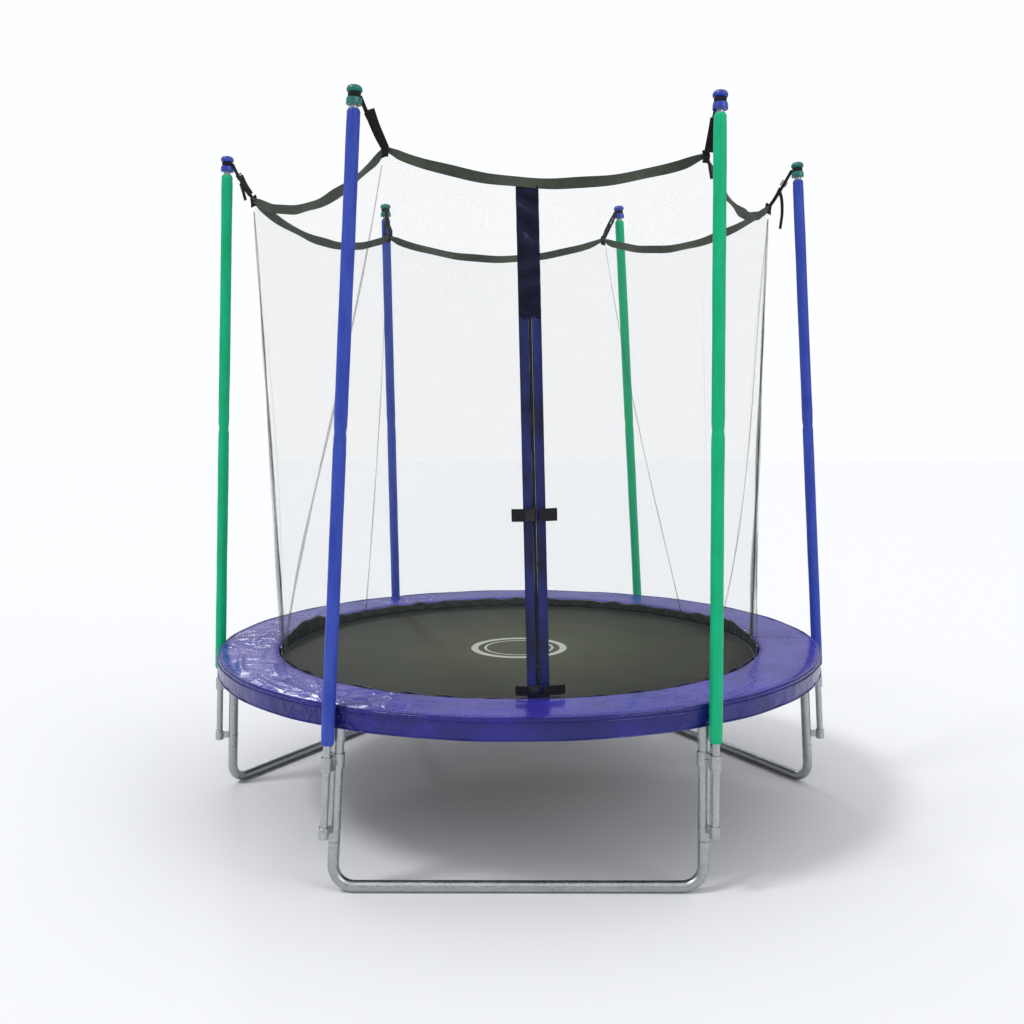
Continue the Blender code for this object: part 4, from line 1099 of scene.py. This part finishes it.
def net_grid(panel, start, end, columns, rows=110):
    """Points of a panel of net between two shares of the panel at its foot and at its band."""
    s = np.linspace(0, 1, columns)
    v = np.linspace(0, 1, rows)
    foot_s = start[0] + (end[0] - start[0]) * s
    top_s = start[1] + (end[1] - start[1]) * s
    lows = np.array([polar(NET_FOOT_RING, (panel + f) * STEP, NET_FOOT_Z) for f in foot_s])
    highs = np.array([band_point(panel, t, -BAND_HEIGHT / 2 + 0.004) for t in top_s])
    grid = lows[None] + (highs - lows)[None] * v[:, None, None]
    shares = foot_s[None] + (top_s - foot_s)[None] * v[:, None]
    levels = np.broadcast_to(v[:, None], shares.shape)
    push = tension_folds(shares, levels, panel)
    push *= np.clip(levels * 14, 0, 1) * np.clip((1 - levels) * 12, 0, 1)
    push *= np.clip(s * 10, 0, 1)[None] * np.clip((1 - s) * 10, 0, 1)[None]
    outward = np.array(polar(1, (panel + 0.5) * STEP, 0))
    grid = grid + outward * push[..., None]
    lay = np.stack([shares * PANEL_WIDTH, levels * 1.76, levels * 0], axis=-1)
    return grid, lay


def entry_shares(offset):
    """A line of the entrance as shares of the front panel, at the foot and at the band."""
    low = entry_point(offset, NET_FOOT_Z)
    foot = (math.atan2(low.y, low.x) / STEP) % STATIONS - 4
    left, right = band_point(4, 0), band_point(4, 1)
    high = entry_point(offset, CORNER_Z - BAND_SAG)
    return foot, (high - left).dot(right - left) / (right - left).length_squared


def build_net():
    """Thin net in six panels, the front one in two halves beside the entrance."""
    panels = {f"net_panel_{k}": (k - 1, (0, 0), (1, 1), 90) for k in (1, 2, 3, 4, 6)}
    half = ZIP_HALF + STRIP_WIDTH - 0.002
    panels["net_front_left"] = (4, (0, 0), entry_shares(-half), 50)
    panels["net_front_right"] = (4, entry_shares(half), (1, 1), 50)
    for node, (panel, start, end, columns) in panels.items():
        grid, lay = net_grid(panel, start, end, columns)
        faces = skin(len(grid), columns)
        name = node.replace("net_", "mesh_")
        cloth = solid(name, grid.reshape(-1, 3), faces, 80, False, lay.reshape(-1, 3))
        if facing_in(cloth):
            cloth.data.flip_normals()
        finish_piece(cloth, "net", None, [node])
        net_blend(cloth)
    build_net_folds()
    build_net_gathers()
    build_foot_hem()


def facing_in(obj):
    """Whether a wall of the net shows its back to the outside."""
    face = obj.data.polygons[len(obj.data.polygons) // 2]
    return face.normal.dot(Vector((face.center.x, face.center.y, 0))) < 0


# Folds in the net: the panel, where each starts and ends as shares across and up it,
# and its width at the start and at the end.
NET_FOLDS = [
    (3, (0.985, 0.985), (0.33, 0.02), 0.010, 0.030),
    (5, (0.985, 0.985), (0.20, 0.02), 0.005, 0.014),
    (5, (0.94, 0.27), (0.84, 0.01), 0.010, 0.022),
    (2, (0.02, 0.985), (0.30, 0.02), 0.004, 0.009),
    (0, (0.985, 0.985), (0.62, 0.02), 0.004, 0.008),
]


def build_net_folds():
    """Narrow folds drawn by the corners' pull."""
    for number, (panel, start, end, wide_top, wide_low) in enumerate(NET_FOLDS, start=1):
        path = []
        for i in range(61):
            t = i / 60
            share = start[0] + (end[0] - start[0]) * t + 0.010 * math.sin(t * math.pi)
            path.append(net_point(panel, share, start[1] + (end[1] - start[1]) * t, 0.003))
        across = polar(1, (panel + 0.5) * STEP + math.pi / 2, 0)
        fold = tapered_strip(f"net_fold_{number}", path, across, wide_top, wide_low, 0.0012)
        finish_piece(fold, "fold", None)
        net_blend(fold)


def build_net_gathers():
    """The layers of slack net that hang together at the two sides."""
    for k in (0, 3):
        for layer in range(4):
            path = []
            for i in range(61):
                t = i / 60
                share = 0.004 + (0.010 * layer + 0.012 * math.sin(layer * 2.1)) * t
                share += 0.003 * math.sin(t * 11 + layer * 2)
                push = 0.002 + 0.0035 * layer * t + 0.002 * math.sin(t * 17 + layer * 3)
                path.append(net_point(k, share, 0.985 - 0.97 * t, push))
            across = polar(1, k * STEP + math.pi / 2 + 0.5 * layer, 0)
            gather = tapered_strip(f"net_gather_{k + 1}_{layer + 1}", path, across, 0.003, 0.022, 0.0008)
            finish_piece(gather, "fold", None)
            net_blend(gather)


def net_point(panel, across, up, push):
    """A point just outside a net panel."""
    low = polar(NET_FOOT_RING, (panel + across) * STEP, NET_FOOT_Z)
    high = band_point(panel, across, -BAND_HEIGHT / 2 + 0.004)
    hollow = 0.004 * math.sin(across * math.pi)
    return low.lerp(high, up) + polar(push - hollow, (panel + 0.5) * STEP, 0)


def tapered_strip(name, path, across, wide_top, wide_low, thickness):
    """A flat strip that widens towards its foot, with rippled edges."""
    out = Vector((-across.y, across.x, 0)) * -thickness / 2
    rings = []
    for i, point in enumerate(path):
        t = i / (len(path) - 1)
        half = (wide_top + (wide_low - wide_top) * t) / 2 * (1 + 0.25 * math.sin(t * 23 + len(name)))
        left, right = point - across * half, point + across * half
        rings.append([left - out, right - out, right + out, left + out])
    return loft(name, rings)


def build_foot_hem():
    """The black hem at the net's foot, slack between the loops that tie it to the mat's edge."""
    steps, rows = 480, 7
    left, right = math.radians(163), math.radians(19)
    grid = []
    for j in range(rows):
        t = j / (rows - 1)
        for i in range(steps):
            a = i * 2 * math.pi / steps
            slack = abs(math.sin(a * SPRINGS / 2))
            low = MAT_TOP + 0.0012 + 0.004 * slack
            tall = 0.030 * hump(a - left, 0.20) + 0.022 * hump(a - right, 0.17)
            high = PAD_TOP + 0.001 - 0.005 * slack + 0.003 * math.sin(a * 37) + tall
            bow = 0.0022 * math.sin(a * 61) + 0.0016 * math.sin(a * 143 + 1)
            radius = NET_FOOT_RING - 0.0010 + bow * math.sin(t * math.pi) + 0.0012 * t
            grid.append(polar(radius, a, low + (high - low) * t))
    along, up = np.arange(steps)[None, :] * 0.0127, np.arange(rows)[:, None] * 0.007
    lay = np.stack(np.broadcast_arrays(along, up, 0.0), axis=-1).reshape(-1, 3)
    hem = solid("net_foot_hem", grid, skin(rows, steps, False, True), 60, False, lay)
    wall = hem.modifiers.new("webbing", "SOLIDIFY")
    wall.thickness, wall.offset = 0.0014, 0.0
    finish_piece(hem, "foot_hem", "mat")


def build_band():
    """The webbing along the net's top edge: it sags between the corners and is pinched to a loop at each."""
    steps = 48
    rings = []
    for panel in range(STATIONS):
        middle = (panel + 0.5) * STEP + TWIST
        for i in range(steps):
            t = i / steps
            pinch = math.exp(-((min(t, 1 - t) / 0.030) ** 2))
            height = BAND_HEIGHT * (1 - 0.55 * pinch)
            lean = 0.006 * math.sin(t * 17 + panel) * (1 - pinch)
            centre = band_point(panel, t)
            centre.z += 0.004 * pinch + 0.0012 * math.sin(t * 31 + panel * 2)
            corner = (panel + (t >= 0.5)) * STEP + TWIST
            outward = polar(1, middle if pinch < 0.02 else corner, 0)
            thick = 0.0016 + 0.006 * pinch
            top = centre + UP * (height / 2) + outward * lean
            low = centre - UP * (height / 2) - outward * lean
            puffed, tucked = 0.5 + pinch * 0.4, 0.5 - pinch * 0.9
            section = [(0, 0.5), (0.25, puffed), (0.5, tucked), (0.75, puffed), (1, 0.5)]
            section += [(1, -0.5), (0.75, -0.5), (0.5, -0.5 - pinch * 0.6), (0.25, -0.5), (0, -0.5)]
            rings.append([low.lerp(top, share) + outward * thick * push for share, push in section])
    band = loft("band_webbing", rings, closed=True, sharp=50)
    finish_piece(band, "band", "root", ["net_top_band"])
    for edge, lift in (("upper", BAND_HEIGHT / 2 - 0.005), ("lower", -BAND_HEIGHT / 2 + 0.005)):
        for panel in range(STATIONS):
            outward = polar(0.0024, (panel + 0.5) * STEP + TWIST, 0)
            path = [band_point(panel, 0.06 + 0.88 * i / 40, lift) + outward for i in range(41)]
            name = f"band_stitches_{edge}_{panel + 1}"
            seam = stitches(name, path, "dark_stitch", 0.009, 0.0055, 0.0011, 0.0009)
            finish_piece(seam, None, "root")


# Straps from the caps to the net's corners

# The strands at each station: width, then points as a share of the way from cap to corner,
# metres sideways to the right as seen from in front, metres down and metres towards the front.
STRANDS = [
    [
        (0.013, [(0, 0, 0, 0), (0.35, 0, 0.004, 0), (0.7, 0, 0.006, 0), (1, 0, 0, 0)]),
        (
            0.013,
            [
                (0.55, 0.002, 0, 0.003),
                (0.55, 0.012, 0.030, 0.005),
                (0.55, 0.015, 0.085, 0.005),
                (0.55, 0.007, 0.150, 0.004),
            ],
        ),
        (0.015, [(0.50, 0.001, -0.004, 0.003), (0.72, 0.001, 0.002, 0.003), (0.98, 0, 0, 0.002)]),
    ],
    [
        (0.010, [(0, -0.003, 0, 0), (0.4, -0.009, 0.003, 0.002), (0.8, -0.008, 0, 0.002), (1, 0, 0, 0)]),
        (0.010, [(0, 0.003, 0, 0), (0.5, 0.006, 0, 0), (1, 0.004, 0, 0)]),
        (0.018, [(0.45, -0.004, 0, 0.005), (0.7, -0.006, 0.002, 0.005), (0.98, 0, 0, 0.003)]),
    ],
    [
        (0.016, [(0, 0, 0, 0), (0.45, 0.002, 0, 0), (1, 0.014, 0, 0)]),
        (
            0.012,
            [
                (0.40, -0.002, 0, 0.004),
                (0.62, -0.012, 0.002, 0.006),
                (0.86, -0.014, 0.006, 0.005),
                (1, -0.006, 0.004, 0.002),
            ],
        ),
        (0.014, [(0.55, 0.006, 0, 0.006), (0.8, 0.016, 0.004, 0.007), (1, 0.006, 0.006, 0.004)]),
    ],
    [
        (0.013, [(0, 0, 0, 0), (0.4, -0.002, 0.004, 0), (1, 0, 0, 0)]),
        (0.024, [(0.36, 0.003, -0.002, 0.004), (0.6, 0.001, 0.002, 0.005), (0.86, 0.002, 0, 0.004)]),
        (0.013, [(0.50, -0.007, 0.004, 0.008), (0.64, -0.010, 0.014, 0.009), (0.76, -0.012, 0.030, 0.008)]),
    ],
    [
        (0.013, [(0, 0, 0, 0), (0.4, -0.002, 0.003, 0), (1, 0, 0, 0)]),
        (
            0.026,
            [
                (0.30, 0.010, -0.004, 0.006),
                (0.55, 0.006, 0, 0.008),
                (0.80, 0.004, 0, 0.007),
                (1, 0.002, 0, 0.003),
            ],
        ),
        (0.014, [(0.34, -0.004, 0, 0.003), (0.7, -0.006, 0.002, 0.004), (1, -0.004, 0, 0.001)]),
    ],
    [
        (0.014, [(0, 0, 0, 0), (0.5, -0.001, 0.003, 0), (1, 0, 0, 0)]),
        (0.034, [(0.30, 0.004, 0, 0.006), (0.6, 0.006, 0, 0.008), (0.94, 0.008, 0, 0.004)]),
        (
            0.022,
            [
                (0.24, 0.006, 0, 0.004),
                (0.24, 0.010, 0.050, 0.008),
                (0.24, 0.012, 0.120, 0.010),
                (0.24, 0.008, 0.205, 0.008),
            ],
        ),
        (0.016, [(0.40, 0.006, 0, 0.010), (0.62, 0.014, 0.004, 0.011), (0.90, 0.016, 0.006, 0.010)]),
        (0.010, [(1, 0.004, 0, 0.004), (1, 0.010, 0.030, 0.006), (1, 0.018, 0.075, 0.006)]),
    ],
]


def build_straps():
    """Two turns round each cap's neck, the strands down to the net's corner, and a ladder lock on them."""
    front = Vector((0, -1, 0))
    for k, strands in enumerate(STRANDS):
        neck = pole_frame(k, 0.032)
        outward, axis = neck.col[0].xyz, neck.col[2].xyz
        side = axis.cross(outward).normalized()
        loop = []
        for i in range(73):
            a = i * 2 * math.pi / 36 + math.pi
            spoke = outward * math.cos(a) + side * math.sin(a)
            drift = axis * (0.0042 * (i / 72 - 0.5) * 2)
            loop.append(neck.translation + spoke * (0.0190 + 0.0008 * i / 72) + drift)
        pieces = [webbing(f"neck_wrap_{k + 1}", loop, axis, 0.0085, 0.0016)]
        inwards = (band_point(k, 0) - neck.translation) * Vector((1, 1, 0))
        start = neck.translation + inwards.normalized() * 0.0215
        end = band_point(k, 0, 0.004)
        across = (end - start).cross(front).normalized()
        across = across if across.x > 0 else -across
        for number, (width, places) in enumerate(strands, start=1):
            spots = []
            for share, right, down, near in places:
                spots.append(start.lerp(end, share) + across * right - UP * down + front * near)
            path = smooth_path(spots, 8)
            leans = [0.3 * math.sin(i * 0.12 + k + number) for i in range(len(path))]
            widths = [across * math.cos(lean) + front * math.sin(lean) for lean in leans]
            pieces.append(webbing(f"strand_{k + 1}_{number}", path, widths, width, 0.0020))
        pieces.append(corner_wrap(k, band_point(k, 0), across, front))
        lock = ladder_lock(k, start.lerp(end, 0.36) + front * 0.004, across, (end - start).normalized())
        whole = joined(f"hanging_straps_{k + 1}", pieces + [lock], "strap")
        finish_piece(whole, None, "root")


def corner_wrap(k, centre, across, front):
    """The strap's end passed round the band and sewn down to itself."""
    path = []
    for i in range(32):
        a = i * 2 * math.pi / 32
        around = UP * (0.019 * math.cos(a) - 0.001) + front * 0.0058 * math.sin(a)
        path.append(centre + around + across * 0.002 * math.sin(2 * a + k))
    return webbing(f"corner_wrap_{k + 1}", path + path[:1], across, 0.021, 0.0024)


def ladder_lock(k, centre, across, run):
    """The three-bar plastic slide that sets the strap's length."""
    width = 0.021
    bars = []
    for offset in (-0.009, 0.0, 0.009):
        place = placed(across, run.cross(across), run, centre + run * offset)
        bars.append(block(f"lock_bar_{k}_{offset}", (width, 0.0042, 0.0040), place, 0.0011))
    for sign in (-1, 1):
        place = placed(across, run.cross(across), run, centre + across * sign * (width / 2))
        bars.append(block(f"lock_side_{k}_{sign}", (0.0036, 0.0042, 0.022), place, 0.0011))
    return joined(f"ladder_lock_{k + 1}", bars, "buckle")


# Entrance


def strip_solid(name, inner, outer, low_z, high_z, thickness, rows, columns, push=None):
    """A fabric strip in the entrance as a thin solid, flat or pushed out by a rule."""
    us = np.linspace(inner, outer, columns)
    zs = np.linspace(low_z, high_z, rows)
    face = [entry_point(u, float(z), float(push(u, z)) if push else 0.0) for z in zs for u in us]
    lay = np.stack(np.broadcast_arrays(zs[:, None], us[None, :], 0.0), axis=-1)
    cloth = solid(name, face, skin(rows, columns), 70, False, lay.reshape(-1, 3))
    if cloth.data.polygons[0].normal.dot(OUT) < 0:
        cloth.data.flip_normals()
    wall = cloth.modifiers.new("cloth", "SOLIDIFY")
    wall.thickness, wall.offset = thickness, 0.0
    return cloth


def navy_wave(seed):
    """The rule for a navy strip's slack, with a turned edge along both sides."""

    def push(u, z):
        from_zip = abs(u) - ZIP_HALF
        edges = hump(from_zip - 0.003, 0.003) + hump(from_zip - STRIP_WIDTH + 0.003, 0.003)
        slack = noise.noise(Vector((u * 25, seed, z * 9)))
        tight = noise.noise(Vector((u * 60, seed + 4, z * 34)))
        return 0.0016 * slack + 0.0007 * tight + 0.0008 * edges

    return push


def black_wave(u, z):
    """The folds across the black strip, flattened where it is sewn on."""
    share = max(0.0, min(1.0, (z - ZIP_HEAD_Z) / (CORNER_Z - ZIP_HEAD_Z)))
    phase = (z + 0.12 * u) / 0.086 + 0.5 * noise.noise(Vector((u * 14, 0, z * 6)))
    fold = abs(phase % 1.0 - 0.5) * 2
    soft = 0.0012 * noise.noise(Vector((u * 40, 9, z * 20)))
    return 0.0062 * (0.5 - fold**2.4) * math.sin(share * math.pi) ** 0.4 + soft


def build_entrance():
    """Two navy strips with the zip between them, and a black strip from the zip's head up to the band."""
    low, half = NET_FOOT_Z, ZIP_HALF + STRIP_WIDTH
    seam_size = {"spacing": 0.008, "length": 0.005, "width": 0.0011, "height": 0.0009}
    for side, sign in (("left", -1), ("right", 1)):
        inner, outer, wave = sign * (ZIP_HALF + 0.0004), sign * half, navy_wave(3 + sign)
        strip = strip_solid(f"navy_strip_{side}", inner, outer, low, ZIP_HEAD_Z, 0.0016, 190, 16, wave)
        finish_piece(strip, "navy", None, [f"entry_strip_{side}"])
        net_blend(strip)
        for number, offset in enumerate((ZIP_HALF + 0.004, half - 0.005), start=1):
            path = entry_line(sign * offset, low + 0.004, ZIP_HEAD_Z - 0.006, 60, 0.0024)
            seam = stitches(f"strip_stitches_{side}_{number}", path, "dark_stitch", **seam_size)
            net_blend(seam)
    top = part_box("entry_strip_upper")[1].z
    foot, head = ZIP_HEAD_Z - 0.006, top + 0.006
    upper = strip_solid("black_strip", -half, half, foot, head, 0.0018, 220, 28, black_wave)
    finish_piece(upper, "black", "root", ["entry_strip_upper"])
    for side, sign in (("left", -1), ("right", 1)):
        path = entry_line(sign * (half - 0.005), ZIP_HEAD_Z + 0.01, top - 0.01, 30, 0.0036)
        seam = stitches(f"upper_stitches_{side}", path, "dark_stitch", **seam_size)
        finish_piece(seam, None, "root")
    build_zip()
    build_slider()


def build_zip():
    """The zip's flat tape and its two rows of closed teeth."""
    low, high = NET_FOOT_Z, ZIP_HEAD_Z
    tape = strip_solid("zip_tape", -ZIP_HALF, ZIP_HALF, low, high - 0.001, 0.0010, 120, 5)
    finish_piece(tape, "tape", None, ["zip_chain"])
    net_blend(tape)
    yaw = math.atan2(ACROSS.y, ACROSS.x)
    for side, sign in (("left", -1), ("right", 1)):
        path = entry_line(sign * 0.0014, low + 0.01, high - 0.01, 20, 0.0012)
        values = {"Spacing": 0.0032, "Length": 0.0019, "Width": 0.0052, "Height": 0.0020}
        values.update({"Turn": (0.0, 0.12 * sign, yaw), "Follow": False, "Finish": FINISH["coil"]})
        teeth = grown(f"zip_teeth_{side}", PATH_TREE, values, path)
        net_blend(teeth)


def build_slider():
    """The slider with its crown and eye, and the pull on the eye."""
    rest = PULL_PIVOT - OUT * 0.0045

    def part(tag, size, round_off, x, out, z):
        return block(f"slider_{tag}", size, entry_place(rest, ACROSS, x, out, z), round_off)

    made = [part("plate", (0.0118, 0.0014, 0.0156), 0.0006, 0, 0.0012, 0)]
    made.append(part("nose", (0.0070, 0.0012, 0.0060), 0.0005, 0, 0.0020, 0.0042))
    for side, sign in (("left", -1), ("right", 1)):
        made.append(part(f"flange_{side}", (0.0012, 0.0024, 0.0100), 0.0004, sign * 0.0056, 0.0004, -0.001))
    eye_path = []
    for a in np.linspace(0, 2 * math.pi, 24, endpoint=False):
        eye_path.append(PULL_PIVOT + ZIP_UP * 0.0032 * math.cos(a) + OUT * 0.0024 * math.sin(a))
    made.append(tube("slider_eye", eye_path, 0.0008, 8, closed=True))
    slider = joined("slider_body", made, "zip_metal")
    finish_piece(slider, None, "zip_slider", ["zip_slider"])
    length, side_x = 0.034, 0.0031
    loop = [(side_x, 0.0), (side_x, -0.008), (side_x - 0.0008, -0.022), (0.0015, -length + 0.0012)]
    loop = [(-x, z) for x, z in loop] + loop[::-1]
    points = [PULL_PIVOT + ACROSS * x + ZIP_UP * z for x, z in loop]
    ring = tube("pull_ring", smooth_path(points + points[:1], 4)[:-1], 0.0008, 8, closed=True)
    blade_place = entry_place(PULL_PIVOT, ACROSS, z=-0.0215)
    blade = block("pull_blade", (0.0072, 0.0014, 0.0225), blade_place, 0.0006)
    pull = joined("pull_tab", [ring, blade], "zip_metal")
    finish_piece(pull, None, "zip_pull", ["zip_pull"])


def build_buckle(name, body):
    """A side-release buckle: a hollow socket, a plug with two sprung arms, and their webbing tabs."""
    across = Vector(JOINTS[f"{name}_release"]["axis"]).normalized()
    socket_points, plug_points = corners_of(f"{name}_socket"), corners_of(f"{name}_plug")
    rise = socket_points @ np.array(ZIP_UP)
    height = float(rise.max() - rise.min())
    low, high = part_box(f"{name}_socket")
    origin = entry_point(0, (low.z + high.z) / 2, 0.019)
    far = float((plug_points @ np.array(across)).max()) - origin.dot(across)
    near = float((socket_points @ np.array(across)).min()) - origin.dot(across)
    edge = height / 2 - 0.002

    def part(tag, size, round_off, x, out=0.0, z=0.0):
        return block(f"{name}_{tag}", size, entry_place(origin, across, x, out, z), round_off)

    def tab(label, first, second, tip, inwards):
        bends = [(first, 0.002), (second, 0.001), (tip + inwards * 0.026, -0.002)]
        bends += [(tip + inwards * 0.012, -0.007), (tip + inwards * 0.0005, -0.0115)]
        path = smooth_path([origin + across * x + OUT * o for x, o in bends], 6)
        web = webbing(f"{name}_{label}_web", path, ZIP_UP, height - 0.004, 0.0022)
        finish_piece(web, "strap")
        seams = []
        for share in (0.45, 0.62):
            spot = path[int(share * (len(path) - 1))] + OUT * 0.0016
            line = [spot + ZIP_UP * (height / 2 - 0.005) * t for t in (-1, -0.5, 0, 0.5, 1)]
            tack = f"{name}_{label}_tack_{share}"
            seams.append(stitches(tack, line, "dark_stitch", 0.0035, 0.0028, 0.0011, 0.0009))
        return [web, *seams]

    shell = [
        part("front", (0.0330, 0.0026, height - 0.009), 0.0010, -0.0175, 0.0046),
        part("back", (0.0330, 0.0026, height - 0.009), 0.0010, -0.0175, -0.0046),
        part("root", (0.0080, 0.0115, height - 0.001), 0.0016, -0.0300),
        part("ridge", (0.0150, 0.0010, height * 0.45), 0.0005, -0.0185, 0.0058),
    ]
    for tag, z in (("upper", edge), ("lower", -edge)):
        shell.append(part(f"rim_{tag}", (0.0090, 0.0115, 0.0040), 0.0014, -0.0060, 0, z))
        shell.append(part(f"post_{tag}", (0.0070, 0.0115, 0.0040), 0.0014, -0.0300, 0, z))
    socket = joined(f"{name}_female", shell + tab("socket", -0.028, -0.038, near, 1), "buckle")
    finish_piece(socket, None, "root", [f"{name}_socket"])
    male = [part("collar", (0.0060, 0.0115, height - 0.001), 0.0018, 0.0040)]
    male.append(part("bar", (0.0040, 0.0100, height - 0.002), 0.0014, 0.0185))
    reach = height / 2 - 0.0085
    arm = [(0.003, reach), (-0.006, reach), (-0.014, reach + 0.0007)]
    arm += [(-0.0185, reach + 0.0017), (-0.0205, reach - 0.0005)]
    for tag, sign in (("upper", 1), ("lower", -1)):
        cheek_z = sign * (edge - 0.0003)
        male.append(part(f"cheek_{tag}", (0.0180, 0.0100, 0.0036), 0.0012, 0.0110, 0, cheek_z))
        bends = [origin + across * x + ZIP_UP * sign * z for x, z in arm]
        male.append(tube(f"{name}_arm_{tag}", smooth_path(bends, 5), 0.0021, 10))
    male.append(part("guide", (0.0200, 0.0040, 0.0050), 0.0010, -0.0080))
    plug = joined(f"{name}_male", male + tab("plug", 0.0165, 0.026, far, -1), "buckle")
    finish_piece(plug, None, body, [f"{name}_plug"])


# Camera, floor and light

# Each lamp's place, strength and width in degrees. All of them shine at the object's foot.
LAMPS = {
    "key": ((-3.0, -1.5, 4.5), 1.25, 14),
    "rim": ((-1.1, 4.0, 2.1), 0.20, 5),
    "fill": ((4.0, -3.5, 2.6), 0.65, 30),
}


def build_camera():
    """The camera stands in front of the entrance and looks a little down."""
    data = bpy.data.cameras.new("camera")
    data.lens, data.sensor_width = 38.87, 36.0
    camera = in_scene("camera", data)
    pitch, yaw, roll = -0.092, -0.0047, -0.0043
    aim = Matrix.Rotation(yaw, 4, "Z") @ Matrix.Rotation(math.pi / 2 + pitch, 4, "X")
    turn = aim @ Matrix.Rotation(roll, 4, "Z")
    camera.matrix_world = Matrix.Translation((-0.048, -4.558, 1.576)) @ turn
    bpy.context.scene.camera = camera


def build_studio():
    """A pale paper floor, a soft bright room and three lamps."""
    reach, level = 30, -0.002
    corners = [(-reach, -reach, level), (reach, -reach, level), (reach, reach, level), (-reach, reach, level)]
    floor = solid("studio_floor", corners, [(0, 1, 2, 3)], closed=False)
    paper, tree = new_finish("pale studio floor")
    shader = add(tree, "ShaderNodeBsdfPrincipled", {"Base Color": colour("#dfe0e2"), "Roughness": 0.9})
    add(tree, "ShaderNodeOutputMaterial", {"Surface": shader})
    floor.data.materials.append(paper)
    world = bpy.data.worlds.new("studio")
    world.use_nodes = True
    tree = world.node_tree
    around = add(tree, "ShaderNodeTexCoord").outputs["Generated"]
    up = add(tree, "ShaderNodeSeparateXYZ", {0: around}).outputs[2]
    glow = add(tree, "ShaderNodeMapRange", {0: up, 1: 0.05, 2: 0.75, 3: 0.34, 4: 1.04})
    seen = add(tree, "ShaderNodeLightPath").outputs["Is Camera Ray"]
    strength = add(tree, "ShaderNodeMix", {0: seen, 2: glow, 3: 1.02})
    tree.nodes["Background"].inputs[0].default_value = colour("#fbfcfe")
    tree.links.new(strength.outputs[0], tree.nodes["Background"].inputs[1])
    bpy.context.scene.world = world
    for name, (place, power, softness) in LAMPS.items():
        data = bpy.data.lights.new(name, "SUN")
        data.energy, data.angle = power, math.radians(softness)
        lamp = in_scene(name, data)
        lamp.location = place
        lamp.rotation_euler = (-Vector(place)).to_track_quat("-Z", "Y").to_euler()
    bpy.context.scene.view_settings.view_transform = "Standard"


build_camera()
build_studio()
build_rails()
build_legs()
build_clamps()
build_poles()
build_mat()
build_springs()
build_pad()
build_net()
build_band()
build_straps()
build_entrance()
build_buckle("upper_buckle", "upper_plug")
build_buckle("lower_buckle", "lower_plug")
